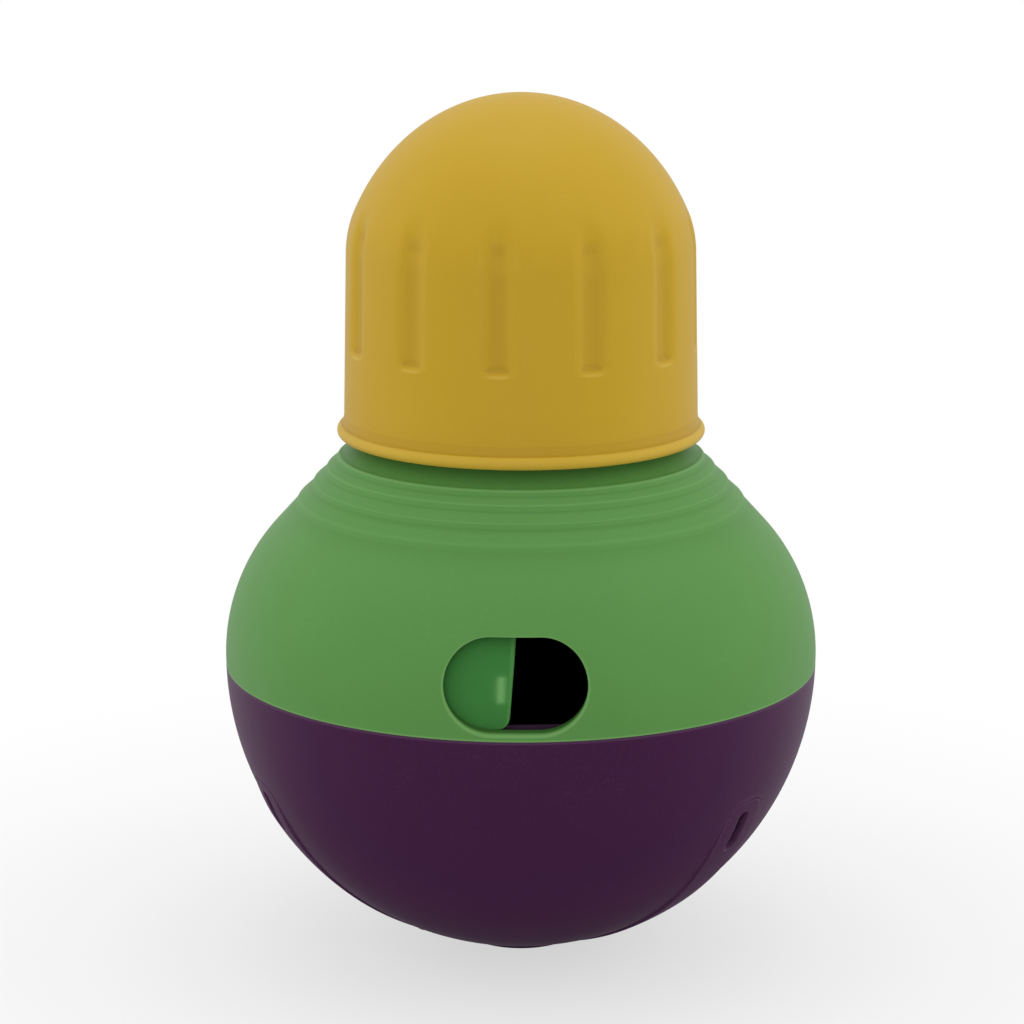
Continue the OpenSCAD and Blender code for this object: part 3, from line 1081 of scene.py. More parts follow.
@dataclass(frozen=True)
class Thread:
    """Leaning thread lugs that the neck and the cap share."""

    starts: int = 3
    per_start: int = 2
    spread: float = 44.0
    columns: int = 44
    pitch_angle: float = 50.0
    lead: float = 18.0
    lean: float = 2.934
    sunk: float = 0.6
    proud: float = 2.4
    root: float = 1.4
    crest: float = 0.9
    taper: float = 5.0
    blunt: float = 0.12
    soft: float = 0.18
    crest_flat: float = 0.72

    def lug(self, foot: float, tip: float) -> list[list[Vector]]:
        """Return the sections of one upright lug.

        Args:
            foot: Radius of its root.
            tip: Radius of its crest.

        Returns:
            One loop of points for each column.
        """
        half = self.spread / 2.0
        rows = []
        for angle in between(-half, half, self.columns):
            share = min(1.0, self.blunt + (half - abs(angle)) / self.taper)
            crown = foot + (tip - foot) * share
            side = crown - self.soft * (tip - foot) * share
            upper = [(crown, self.crest * self.crest_flat), (side, self.crest), (foot, self.root)]
            section = [(r, -z) for r, z in reversed(upper)] + upper
            way = math.radians(angle)
            rows.append([Vector((r * math.cos(way), r * math.sin(way), z)) for r, z in section])
        return rows

    def add_to(self, shell: Shell, wall: float, outwards: float, height: float) -> None:
        """Add all lugs to a shell.

        Args:
            shell: The shell they grow from.
            wall: Radius of the wall they stand on.
            outwards: 1 where they stand outwards, -1 where they stand inwards.
            height: Height of the first lug's middle.
        """
        lug = self.lug(wall - outwards * self.sunk, wall + outwards * self.proud)
        lean = Matrix.Rotation(math.radians(self.lean), 4, "X")
        for start in range(self.starts):
            for k in range(self.per_start):
                turn = math.radians(start * 360.0 / self.starts + k * self.pitch_angle)
                up = height + self.lead * k * self.pitch_angle / 360.0
                lift = Matrix.Translation((0.0, 0.0, up))
                stand = Matrix.Rotation(turn, 4, "Z") @ lift @ lean
                shell.loft([[stand @ point for point in row] for row in lug])


@dataclass
class ChamberCap(Part):
    """Screw-on upper chamber: fluted wall, domed crown and flared lip."""

    seat: Seat = Seat("chamber_cap", "cap", Body.CAP, Slot.CAP, YELLOW_PLASTIC)
    wall_r: float = 59.1
    inner_r: float = 55.9
    low: float = 176.416
    top: float = 289.916
    wall: float = 3.2
    crown_start: float = 19.0
    crown_a: float = 61.130
    crown_b: float = 68.354
    crown_blend: float = 6.0
    blend_parts: int = 16
    crown_step: float = 0.95
    inner_step: float = 1.8
    lip_in: float = 0.6
    lip_h: float = 7.0
    lip_soft: float = 2.4
    bead_r: float = 2.2
    bead_mid: Point2 = (59.3, 2.0)
    bead_turn: Point2 = (-65.0, 80.0)
    bead_step: float = 11.0
    flutes: int = 12
    flute_half: float = 7.2
    flute_depth: float = 1.8
    flute_ramp: float = 2.8
    flute_rise: float = 29.0
    flute_turn: float = -6.6
    flute_top: float = 256.0
    flute_fade: float = 12.0
    ledge: float = 193.266
    ledge_w: float = 3.5
    ledge_t: float = 2.0
    ledge_slope: float = 7.0
    ledge_soft: float = 0.5
    slope_soft: float = 2.0
    edge_soft: float = 0.4
    column: float = 0.6
    halved_at: tuple[float, ...] = (33.0, 16.0, 8.0, 0.0)
    thread: Thread = Thread()
    thread_z: float = 181.116

    def skin(self, radius: float, height: float, angle: float) -> float:
        """Sink the wall into the flutes, which fade out softly at both ends.

        Args:
            radius: Radius of the plain wall.
            height: Height above the floor.
            angle: Angle from the slot.

        Returns:
            The fluted wall's radius.
        """
        pitch = 360.0 / self.flutes
        away = (angle - self.flute_turn + pitch / 2) % pitch - pitch / 2
        side = abs(self.wall_r * math.radians(away) / self.flute_half)
        if side >= 1.0:
            return radius
        deep = self.flute_depth * (1.0 - 2.0 * side**2 if side < 0.5 else 2.0 * (1.0 - side) ** 2)
        deep *= eased((height - self.low - self.flute_rise) / self.flute_ramp)
        return radius - deep * eased((self.flute_top - height) / self.flute_fade)

    def crown(self, inset: float, start: float, end: float, step: float) -> list[Point2]:
        """Return part of the crown's oval.

        Args:
            inset: How far it lies below the outside.
            start: First angle in degrees, from outwards.
            end: Last angle.
            step: Largest angle between points.

        Returns:
            Radius and height of its points.
        """
        wide = self.crown_a - inset
        tall = (self.crown_b - inset) / wide
        return arc((0.0, self.top - self.crown_b), wide, start, end, step, tall)

    def outside(self) -> list[Point2]:
        """Return the outer profile from the lip's underside to the top.

        Returns:
            Radius and height of its points.
        """
        bead = (self.bead_mid[0], self.low + self.bead_mid[1])
        lip = [(self.inner_r + self.lip_in, self.low)]
        lip += arc(bead, self.bead_r, *self.bead_turn, self.bead_step)
        lip += [(self.wall_r, self.low + self.lip_h, self.lip_soft)]
        head = self.crown(0.0, self.crown_start, 90.0, self.crown_step)[0]
        path = rounded_path([*lip, head])[:-1]
        # Rows below the flutes, close ones where they ramp in, and then one each millimetre.
        rows = [-6.0, -0.5, *(LEAST_EDGE * i for i in range(9)), *(4.2 + i for i in range(35))]
        levels = [self.low + self.flute_rise + row for row in rows]
        foot_r, foot_z = path[-1]
        blend_z = head[1] - self.crown_blend
        for level in [z for z in levels if z < blend_z - LEAST_EDGE] + [blend_z]:
            share = (level - foot_z) / (head[1] - foot_z)
            path.append((foot_r + (head[0] - foot_r) * share, level))
        onward = self.crown_start + math.degrees(self.crown_blend / self.crown_b)
        crown = self.crown(0.0, onward, 90.0, self.crown_step)
        path += bend(Vector(path[-1]), Vector(head), Vector(crown[0]), self.blend_parts)[1:-1]
        return path + crown

    def within(self) -> list[Point2]:
        """Return the inner profile from the top down to the lip's underside.

        Returns:
            Radius and height of its points.
        """
        shelf = self.inner_r - self.ledge_w
        path = self.crown(self.wall, 90.0, self.crown_start, self.inner_step)
        path += [(self.inner_r, self.ledge + self.ledge_slope, self.slope_soft)]
        path += [(shelf, self.ledge + self.ledge_t, self.ledge_soft)]
        path += [(shelf, self.ledge, self.edge_soft), (self.inner_r, self.ledge, self.ledge_soft)]
        path += [(self.inner_r, self.low, self.edge_soft)]
        return rounded_path([*path, (self.inner_r + self.lip_in, self.low)])

    def shape(self) -> None:
        """Shape the cap, with fewer columns towards the top and inside."""
        path, step, start = self.outside(), self.column, 0
        for reach in self.halved_at:
            end = sum(r >= reach for r, _ in path)
            self.shell.lathe(path[start:end], full_turn(step), self.skin)
            if end < len(path):
                few, many = full_turn(2 * step), full_turn(step)
                self.shell.splice(path[end], path[end - 1], few, many)
            step, start = 2 * step, end
        path, few = self.within(), full_turn(2 * self.column)
        self.shell.lathe(path[:-1], few)
        self.shell.splice(path[-2], path[-1], few, full_turn(self.column))
        self.thread.add_to(self.shell, self.inner_r, -1.0, self.thread_z)


@dataclass
class Dome(Part):
    """Upper housing: round side with the slot, ringed shoulder and threaded neck."""

    seat: Seat = Seat("dome_shell", "dome", Body.HOUSING, Slot.DOME, GREEN_PLASTIC)
    inner_r: float = 61.0
    tilt: float = 42.5
    lap_r: float = 98.35
    lap_low: float = 93.2
    hem_soft: float = 0.45
    hem_step: float = 1.0
    skirt_h: float = 2.0
    neck_r: float = 52.6
    neck_in: float = 49.4
    neck_z: float = 178.616
    neck_under: float = 177.668
    neck_top: float = 190.966
    neck_soft: float = 0.5
    neck_root: float = 0.8
    neck_near: float = 0.2
    step_r: tuple[float, ...] = (74.3, 69.0, 64.5, 60.8)
    step_h: float = 0.6
    step_run: float = 0.9
    step_soft: float = 2.0
    recess: tuple[tuple[float, float, float], ...] = ((59.9, 170.3, 2.0), (53.3, 175.2, 1.0))
    slot_w: float = 45.1
    slot_h: float = 29.65
    slot_low: float = 101.1
    slot_shift: float = -0.55
    slot_soft: float = 0.65
    slot_sharpening: float = 0.6
    slot_step: float = 5.625
    slot_parts: int = 8
    slot_draft: float = 1.05
    patch_turn: float = 24.0
    patch_low: float = -2.06
    patch_high: float = 34.0
    patch_step: float = 1.8
    column: float = 1.5
    rise_step: float = 1.2
    notch_turn: float = 2.68
    notch_sides: tuple[float, ...] = (-2.75, -2.6, 2.6, 2.75)
    notch_r: float = 50.9
    notch_h: float = 4.8
    notch_step: float = 0.05
    rail_in: float = 56.2
    rail_out: float = 58.2
    rail_sunk: float = 1.5
    rail_rise: tuple[float, float, float] = (29.0, 33.6, 36.0)
    rail_turn: Point2 = (-51.7, 17.7)
    rail_parts: int = 40
    stop_rise: Point2 = (5.0, 35.5)
    stop_sunk: float = 1.0
    stop_past: float = 0.5
    stop_turn: float = 2.9
    stop_parts: int = 3
    guide_step: float = 2.0
    thread: Thread = Thread()
    thread_z: float = 183.466

    def slot_edge(self) -> list[Point2]:
        """Return the slot's outline across and up, starting at its right end.

        Returns:
            The outline's points.
        """
        end_r = self.slot_h / 2
        reach = self.slot_w / 2 - end_r
        points = []
        for side in (1.0, -1.0):
            middle = (self.slot_shift + side * reach, self.slot_low + end_r)
            points += arc(middle, end_r, -90.0 * side, 180.0 - 90.0 * side, self.slot_step)
            straight = between(middle[0], middle[0] - 2 * side * reach, self.slot_parts)[1:-1]
            points += [(across, middle[1] + side * end_r) for across in straight]
        return points

    def slot_back(self) -> list[Point2]:
        """Return the slot's outline on the inside; its lower half is drafted upwards.

        Returns:
            The outline's points.
        """
        middle = self.slot_low + self.slot_h / 2
        lift = self.slot_draft / (self.slot_h / 2)
        return [(x, z + lift * max(0.0, middle - z)) for x, z in self.slot_edge()]

    def shoulder(self) -> list[tuple[float, ...]]:
        """Return the ringed shoulder from its outer end to the neck.

        Returns:
            Its corners with their roundings.
        """
        turn = math.radians(self.tilt)
        rise, run = math.sin(turn), math.cos(turn)
        start = (SIDE_MID[0] + SIDE_R * run, SIDE_MID[1] + SIDE_R * rise)
        path = [start]
        for radius in self.step_r:
            foot_r = radius + self.step_h + self.step_run
            foot_z = start[1] + (start[0] - foot_r) / math.tan(turn)
            head_z = start[1] + (start[0] - radius) / math.tan(turn) + self.step_h * rise
            path += [(foot_r, foot_z, self.step_soft)]
            path += [(radius + self.step_h * run, head_z, self.step_soft)]
        return path + list(self.recess)

    def notched(self, radius: float, height: float, angle: float) -> float:
        """Open the neck's two key notches.

        Args:
            radius: Radius of the plain neck.
            height: Height above the floor.
            angle: Angle from the slot.

        Returns:
            The neck's radius there.
        """
        in_notch = abs(abs(angle) - 90.0) < self.notch_turn
        in_notch &= height > self.neck_top - self.notch_h
        return max(radius, self.notch_r) if in_notch else radius

    def turn_neck(self) -> None:
        """Add the shoulder, the neck and the inside above the slot's band."""
        shell = self.shell
        notch_z = self.neck_top - self.notch_h
        path = arc(SIDE_MID, SIDE_R, self.patch_high, self.tilt, self.rise_step)[:-1]
        path += self.shoulder()
        path += [(self.neck_r, self.neck_z, self.neck_root)]
        path += [(self.neck_r, self.neck_top, self.neck_soft)]
        path += [(self.neck_in, self.neck_top, self.neck_soft)]
        path += [(self.neck_in, notch_z + side * self.notch_step) for side in (1, -1)]
        path += [(self.neck_in, self.neck_under)]
        path += arc(SIDE_MID, self.inner_r, self.tilt, self.patch_high, self.rise_step)
        path = rounded_path(path)
        around = full_turn(self.column)
        keyed = full_turn(self.column, [s * 90 + d for s in (-1, 1) for d in self.notch_sides])
        is_neck = [r < self.neck_r + self.neck_near and z > self.neck_under for r, z in path]
        first = is_neck.index(True)
        last = first + sum(is_neck)
        shell.lathe(path[:first], around)
        shell.splice(path[first - 1], path[first], around, keyed)
        shell.lathe(path[first:last], keyed, self.notched)
        shell.splice(path[last], path[last - 1], around, keyed)
        shell.lathe(path[last:], around)

    def turn_side(self) -> None:
        """Add the hem, the skirt and the band with the slot."""
        around = full_turn(self.column)
        corner = -math.degrees(math.asin((SIDE_MID[1] - SEAM_Z) / SIDE_R))
        low = arc(SIDE_MID, SIDE_R, corner, self.patch_low, self.hem_step)
        hem = [(self.lap_r, self.lap_low), (self.lap_r, SEAM_Z), (*low[0], self.hem_soft), *low[1:]]
        skirt_r = SIDE_MID[0] + self.inner_r
        skirt = [(skirt_r, SIDE_MID[1] - self.skirt_h), (skirt_r, self.lap_low)]
        outer = arc(SIDE_MID, SIDE_R, self.patch_low, self.patch_high, self.rise_step)
        inner = arc(SIDE_MID, self.inner_r, self.patch_high, 0.0, self.rise_step) + skirt[:1]
        self.shell.lathe(rounded_path(hem), around)
        self.shell.lathe([*skirt, (self.lap_r, self.lap_low)], around)
        for band in (outer, inner):
            self.shell.lathe(band, [a for a in around if a <= -self.patch_turn])
            self.shell.lathe(band, [a for a in around if a >= self.patch_turn])
        self.open_slot(outer, inner)

    def open_slot(self, outer: Sequence[Point2], inner: Sequence[Point2]) -> None:
        """Cover the dome's front around the slot and turn the slot's edge inwards.

        Args:
            outer: Outer profile beside the slot.
            inner: Inner profile beside the slot.
        """
        face, rear = SideChart(SIDE_R), SideChart(self.inner_r, upright=True)
        edge = self.slot_edge()
        soft = [1.0 - self.slot_sharpening * (z - self.slot_low) / self.slot_h for _, z in edge]
        mouth = [face.behind(x, z) for x, z in edge]
        rim = face.rim(mouth, fillet_steps(self.slot_soft), soft)
        back = [rear.behind(x, z) for x, z in self.slot_back()]
        self.shell.bridge(rim + [back])
        front = [a for a in full_turn(self.column) if abs(a) <= self.patch_turn]
        for chart, band, hole in ((face, outer, rim[0]), (rear, inner, back)):
            (low_r, low_z), (top_r, top_z) = band[0], band[-1]
            border = [on_axis(r, front[0], z) for r, z in band]
            border += [on_axis(top_r, a, top_z) for a in front[1:-1]]
            border += [on_axis(r, front[-1], z) for r, z in reversed(band)]
            border += [on_axis(low_r, a, low_z) for a in front[-2:0:-1]]
            outline = chart.flat(border)
            filling = grid(outline, self.patch_step)
            self.shell.patch(chart, [outline, chart.flat(hole)], filling, self.patch_step)

    def add_guides(self) -> None:
        """Add the rail and the end stops that guide the shutter."""
        low, notch, high = self.rail_rise
        rail = arc(SIDE_MID, self.rail_in, low, high, self.guide_step)
        rail += arc(SIDE_MID, self.inner_r + self.rail_sunk, high, notch, self.guide_step)
        rail += arc(SIDE_MID, self.rail_out, notch, low, self.guide_step)
        first, last = self.rail_turn
        self.shell.sweep(rail, between(first, last, self.rail_parts))
        low, high = self.stop_rise
        stop = arc(SIDE_MID, self.rail_in - self.stop_past, low, high, self.guide_step)
        stop += arc(SIDE_MID, self.inner_r + self.stop_sunk, high, low, self.guide_step)
        for start in (first - self.stop_past, last + self.stop_past - self.stop_turn):
            self.shell.sweep(stop, between(start, start + self.stop_turn, self.stop_parts))

    def shape(self) -> None:
        """Shape the dome."""
        self.turn_neck()
        self.turn_side()
        self.add_guides()
        self.thread.add_to(self.shell, self.neck_r, 1.0, self.thread_z)


@dataclass
class Shutter(Part):
    """Curved plate that slides behind the slot, with soft edges."""

    seat: Seat = Seat("shutter_plate", "shutter", Body.SHUTTER, Slot.SHUTTER, SHUTTER_PLASTIC)
    outer_r: float = 60.6
    thickness: float = 2.0
    left_turn: float = -34.0
    low: float = 93.5
    top_turn: float = 33.0
    edge_lean: float = 4.3
    edge_top: float = 136.0
    edge_rises: Point2 = (20.0, 32.0)
    corner_low: float = 101.6
    corner_r: float = 6.0
    corner_parts: int = 8
    tab_in: float = 9.0
    tab_soft: Point2 = (2.0, 0.8)
    top_soft: Point2 = (2.8, 2.0)
    soft: float = 0.9
    back_soft: float = 0.3
    plain_soft: float = 0.7
    edge_soft: float = 0.9
    edge_near: float = 0.8
    spacing: float = 1.5
    patch_step: float = 1.6

    def free_edge(self, height: float) -> float:
        """Return the free edge's offset across at a height."""
        return (height - self.edge_top) * math.tan(math.radians(self.edge_lean))

    def outline(self) -> list[Point2]:
        """Return the plate's outline on the map of its outer face.

        Returns:
            Map points around the outline.
        """
        left = (SIDE_MID[0] + self.outer_r) * math.radians(self.left_turn)
        high = self.outer_r * math.radians(self.top_turn)
        down, corner = self.low - SIDE_MID[1], self.corner_low - SIDE_MID[1]
        tab = self.free_edge(self.low) - self.tab_in
        bend_at, top_at = [self.free_edge(SIDE_MID[1] + rise) for rise in self.edge_rises]
        middle = self.outer_r * math.asin(self.edge_rises[0] / self.outer_r)
        path = [(left, down), (tab, down, self.tab_soft[0]), (tab, corner, self.tab_soft[1])]
        path += [(self.free_edge(self.corner_low), corner, self.corner_r), (bend_at, middle)]
        path += [(top_at, high, self.top_soft[0]), (left, high, self.top_soft[1]), (left, down)]
        return spaced(rounded_path(path, self.corner_parts), self.spacing)

    def softness(self, across: float, height: float) -> float:
        """Return how far the front edge is rolled; the free edge's roll grows upwards.

        Args:
            across: Offset across.
            height: Height above the floor.

        Returns:
            The roll's size as a share of the usual one.
        """
        if abs(across - self.free_edge(height)) > self.edge_near:
            return self.plain_soft
        share = (height - self.corner_low) / (self.edge_top - self.corner_low)
        return self.plain_soft + self.edge_soft * max(0.0, min(1.0, share))

    def shape(self) -> None:
        """Shape the shutter."""
        outer = SideChart(self.outer_r, upright=True)
        inner = SideChart(self.outer_r - self.thickness, upright=True)
        outline = self.outline()
        edge = [outer.lift(point) for point in outline]
        scales = [self.softness(across, point.z) for (across, _), point in zip(outline, edge)]
        roll = [(-offset, depth) for offset, depth in fillet_steps(self.soft)]
        under = reversed(fillet_steps(self.back_soft))
        under = [(-offset, self.thickness - depth) for offset, depth in under]
        loops = outer.rim(edge, roll, scales) + outer.rim(edge, under)
        loops[-1] = [inner.lift(flat) for flat in inner.flat(loops[-1])]
        self.shell.bridge(loops)
        for chart, loop in ((outer, loops[0]), (inner, loops[-1])):
            flat = chart.flat(loop)
            self.shell.patch(chart, [flat], grid(flat, self.patch_step), self.patch_step)


@dataclass
class GripStrip(Part):
    """One rubber strip in its pocket on the bowl."""

    bowl: "Bowl"
    number: int
    turn: float
    start: float = 24.24
    end: float = 121.2
    width: float = 20.0
    slim_below: float = 103.0
    slim_rate: float = 0.009
    slim_least: float = 0.7
    low_corner: float = 5.0
    top_corner: float = 8.2
    fade: float = 18.0
    flush: float = 0.15
    gap: float = 0.14
    soft: float = 0.5
    anchor_half: float = 2.8
    anchor_corner: float = 2.744
    anchor_start: float = 101.2
    anchor_end: float = 117.0
    corner_step: float = 7.5
    spacing: float = 3.0
    patch_step: float = 2.2

    def __post_init__(self) -> None:
        """Name the strip by its number."""
        node = f"grip_strip_{self.number}"
        self.seat = Seat(f"{node}_rubber", node, Body.HOUSING, Slot.RUBBER, PLUM_RUBBER)

    def plan(self, points: Iterable[Point2]) -> list[Point2]:
        """Turn points given along and across the strip into plan points.

        Args:
            points: Length along the bowl from its lowest point, and offset across.

        Returns:
            The plan points at the strip's place about the axis.
        """
        ball = self.bowl.radius
        way = math.radians(self.turn)
        plan = []
        for along, across in points:
            slim = 1.0 - self.slim_rate * max(0.0, self.slim_below - along)
            out, side = ball * math.sin(along / ball), across * max(self.slim_least, slim)
            x = out * math.sin(way) + side * math.cos(way)
            plan.append((x, side * math.sin(way) - out * math.cos(way)))
        return plan

    def oblong(
        self, ends: Point2, half: float, low_corner: float, top_corner: float
    ) -> list[Point2]:
        """Return the plan points of an oblong with rounded corners.

        Args:
            ends: Where it starts and ends along the strip.
            half: Half its width.
            low_corner: Corner radius at its start.
            top_corner: Corner radius at its end.

        Returns:
            Plan points around it.
        """
        points: list[Point2] = []
        low = (ends[0] + low_corner, half - low_corner, low_corner)
        top = (ends[1] - top_corner, half - top_corner, top_corner)
        sides = ((top, 1.0), (low, 1.0), (low, -1.0), (top, -1.0))
        for quarter, ((along, across, radius), side) in enumerate(sides):
            start = 90.0 * quarter
            points += arc((along, side * across), radius, start, start + 90.0, self.corner_step)
        return self.plan(spaced(points + points[:1], self.spacing))

    def outline(self, gap: float) -> list[Point2]:
        """Return the strip's plan outline, inset by a gap."""
        corners = (self.low_corner - gap, self.top_corner - gap)
        return self.oblong((self.start + gap, self.end - gap), self.width / 2 - gap, *corners)

    def anchor(self) -> list[Point2]:
        """Return the anchor slot's plan outline."""
        ends = (self.anchor_start, self.anchor_end)
        return self.oblong(ends, self.anchor_half, self.anchor_corner, self.anchor_corner)

    def filling(self, chart: BallChart, step: float) -> list[Point2]:
        """Return map points spread over the strip."""
        return grid(chart.flat(chart.below(point) for point in self.outline(0.0)), step)

    def settle(self, point: Vector) -> Vector:
        """Let the strip sink flush with the bowl towards its upper end.

        Args:
            point: A point of the strip.

        Returns:
            The point in its settled place.
        """
        ball = self.bowl.radius
        ray = point - BALL_MID
        away = ray.length
        along = ball * math.acos(-ray.z / away)
        share = self.flush + (1.0 - self.flush) * eased((self.end - along) / self.fade)
        return BALL_MID + ray * ((min(away, ball) + max(0.0, away - ball) * share) / away)

    def shape(self) -> None:
        """Shape the strip."""
        bowl, shell = self.bowl, self.shell
        skin, top = BallChart(bowl.radius), BallChart(bowl.radius + bowl.strip_proud)
        base = BallChart(bowl.radius - bowl.pocket + bowl.seat_gap)
        foot = [(0.0, top.radius - base.radius)]
        roll = fillet_steps(self.soft)
        edge = [top.onto(skin.below(point)) for point in self.outline(self.gap)]
        sides = top.rim(edge, [(-offset, depth) for offset, depth in roll] + foot)
        mouth = [top.onto(skin.below(point)) for point in self.anchor()]
        hole = top.rim(mouth, roll + foot)
        shell.bridge(sides)
        shell.bridge(hole)
        for chart, end in ((top, 0), (base, -1)):
            loops = [chart.flat(sides[end]), chart.flat(hole[end])]
            shell.patch(chart, loops, self.filling(chart, self.patch_step), self.patch_step)
        shell.points = [self.settle(point) for point in shell.points]


@dataclass
class Bowl(Part):
    """Weighted lower housing: a ball shell with pockets for its strips and its foot."""

    seat: Seat = Seat("bowl_shell", "bowl", Body.HOUSING, Slot.BOWL, PLUM_PLASTIC)
    radius: float = 100.0
    inner_r: float = 97.0
    rim_h: float = 1.0
    rim_soft: Point2 = (0.45, 0.2)
    lap_r: float = 98.5
    lap_low: float = 91.0
    pocket: float = 1.2
    pocket_soft: float = 0.25
    pocket_step: float = 3.0
    anchor_depth: float = 1.0
    strip_proud: float = 0.8
    seat_gap: float = 0.15
    foot_r: float = 20.0
    foot_edge: float = 20.4
    foot_soft: float = 0.3
    seat_rings: tuple[float, ...] = (8.0, 12.0, 16.0)
    stem_r: float = 4.15
    boss_r: float = 5.0
    boss_ease: float = 0.4
    boss_sunk: float = 1.0
    boss_top: float = 20.15
    boss_circle: float = 42.0
    boss_turns: tuple[float, ...] = (-135.0, -45.0, 45.0, 135.0)
    boss_step: float = 9.0
    hole_r: float = 2.0
    hole_ease: Point2 = (0.2, 0.3)
    hole_depth: float = 7.0
    column: float = 1.5
    patch_step: float = 2.6
    strip_turn: float = 53.2
    strips: list[GripStrip] = field(default_factory=list)

    def __post_init__(self) -> None:
        """Set the three strips out about the axis."""
        for i in range(3):
            turn = (self.strip_turn + 120.0 * i + 180.0) % 360.0 - 180.0
            self.strips.append(GripStrip(self, i + 1, turn))

    def turn_inside(self) -> None:
        """Add the rim, the inside and the seat of the foot."""
        rim_z = SEAM_Z - self.rim_h
        floor = self.radius - self.pocket
        path = [(ball_reach(self.radius, rim_z), rim_z)]
        path += [(ball_reach(self.radius, SEAM_Z), SEAM_Z, self.rim_soft[0])]
        path += [(self.lap_r, SEAM_Z, self.rim_soft[1]), (self.lap_r, self.lap_low)]
        first = math.degrees(math.asin((self.lap_low - BALL_Z) / self.inner_r))
        last = -math.degrees(math.acos(self.stem_r / self.inner_r))
        path += arc((0.0, BALL_Z), self.inner_r, first, last, self.column)
        path += [(r, ball_low(floor, r)) for r in (self.stem_r, *self.seat_rings, self.foot_r)]
        path += [(self.foot_r, ball_low(self.radius, self.foot_r), self.foot_soft)]
        path += [(self.foot_edge, ball_low(self.radius, self.foot_edge))]
        self.shell.lathe(rounded_path(path), full_turn(self.column))

    def filling(self, reach: float) -> list[Point2]:
        """Return map points in rings over the bowl's outside.

        Args:
            reach: Distance of the rim on the map.

        Returns:
            The points.
        """
        points = []
        rows = math.floor(reach / self.patch_step)
        for row in range(1, rows + 1):
            away = reach * row / rows
            round_length = 2 * math.pi * self.radius * math.sin(away / self.radius)
            count = max(6, round(round_length / self.patch_step))
            for i in range(count):
                way = 2 * math.pi * (i + 0.5 * (row % 2)) / count
                points.append((away * math.cos(way), away * math.sin(way)))
        return points

    def cover_outside(self) -> None:
        """Add the round outside with the pockets in it."""
        chart = BallChart(self.radius)
        rim_z = SEAM_Z - self.rim_h
        rings = [(ball_reach(self.radius, rim_z), rim_z)]
        rings += [(self.foot_edge, ball_low(self.radius, self.foot_edge))]
        around = full_turn(self.column)[:-1]
        loops = [chart.flat(on_axis(r, a, z) for a in around) for r, z in rings]
        loops += [self.open_pocket(chart, strip) for strip in self.strips]
        filling = self.filling(math.hypot(*loops[0][0]))
        self.shell.patch(chart, loops, filling, self.patch_step)

    def open_pocket(self, chart: BallChart, strip: GripStrip) -> list[Point2]:
        """Add a strip's pocket and return its edge on the map.

        Args:
            chart: Map of the bowl's outside.
            strip: The strip that the pocket holds.

        Returns:
            The pocket's outer edge on the map.
        """
        floor = BallChart(self.radius - self.pocket)
        bed = BallChart(floor.radius - self.anchor_depth)
        edge = [chart.below(point) for point in strip.outline(0.0)]
        sides = chart.rim(edge, fillet_steps(self.pocket_soft) + [(0.0, self.pocket)])
        slot = [floor.onto(chart.below(point)) for point in strip.anchor()]
        well = floor.rim(slot, [(0.0, 0.0), (0.0, self.anchor_depth)])
        self.shell.bridge(sides)
        self.shell.bridge(well)
        step = self.pocket_step
        loops = [floor.flat(sides[-1]), floor.flat(well[0])]
        self.shell.patch(floor, loops, strip.filling(floor, step), step)
        self.shell.patch(bed, [bed.flat(well[-1])], [], step)
        return chart.flat(sides[0])

    def add_bosses(self) -> None:
        """Add the four screw bosses that stand under the ballast cover."""
        low, top = ball_low(self.inner_r, self.boss_circle) - self.boss_sunk, self.boss_top
        wide, deep = self.hole_ease
        path = [(0.0, low), (self.boss_r, low), (self.boss_r, top - self.boss_ease)]
        path += [(self.boss_r - self.boss_ease, top), (self.hole_r + wide, top)]
        path += [(self.hole_r, top - deep), (self.hole_r, top - self.hole_depth)]
        path += [(0.0, top - self.hole_depth)]
        for angle in self.boss_turns:
            middle = on_axis(self.boss_circle, angle, 0.0)
            self.shell.lathe(path, full_turn(self.boss_step), middle=middle)

    def shape(self) -> None:
        """Shape the bowl."""
        self.turn_inside()
        self.cover_outside()
        self.add_bosses()

    def dress(self) -> None:
        """Dress the bowl and then its strips."""
        super().dress()
        for strip in self.strips:
            strip.dress()


@dataclass
class RubberFoot(Part):
    """Rubber foot with a grooved flat underside, a soft edge and a push-in stem."""

    seat: Seat = Seat("foot_rubber", "foot_pad", Body.HOUSING, Slot.RUBBER, PLUM_RUBBER)
    ball_r: float = 102.2
    seat_r: float = 98.95
    radius: float = 19.8
    groove: tuple[float, float, float] = (3.0, 1.8, 0.6)
    groove_h: float = 0.35
    groove_soft: float = 0.4
    edge_soft: tuple[float, float, float] = (0.6, 0.5, 0.3)
    stem_r: float = 4.0
    stem_soft: float = 0.2
    head_r: float = 6.5
    head_low: float = 4.15
    head_t: float = 2.0
    head_soft: Point2 = (0.4, 0.6)
    rings: int = 8
    column: float = 3.0

    def shape(self) -> None:
        """Shape the foot."""
        flat = ball_reach(self.ball_r, 0.0)
        start, middle, end = [flat - inset for inset in self.groove]
        sole, outer, rear = self.edge_soft
        path = [(0.0, 0.0), (start, 0.0), (middle, self.groove_h, self.groove_soft)]
        path += [(end, 0.0), (flat, 0.0, sole)]
        steps = between(flat, self.radius, self.rings)[1:]
        path += [(r, ball_low(self.ball_r, r)) for r in steps]
        path[-1] += (outer,)
        steps = between(self.radius, self.stem_r, self.rings)
        back = [(r, ball_low(self.seat_r, r)) for r in steps]
        back[0] += (rear,)
        back[-1] += (self.stem_soft,)
        low, top = self.head_low, self.head_low + self.head_t
        path += [*back, (self.stem_r, low), (self.head_r, low, self.head_soft[0])]
        path += [(self.head_r, top, self.head_soft[1]), (0.0, top)]
        self.shell.lathe(rounded_path(path), full_turn(self.column))


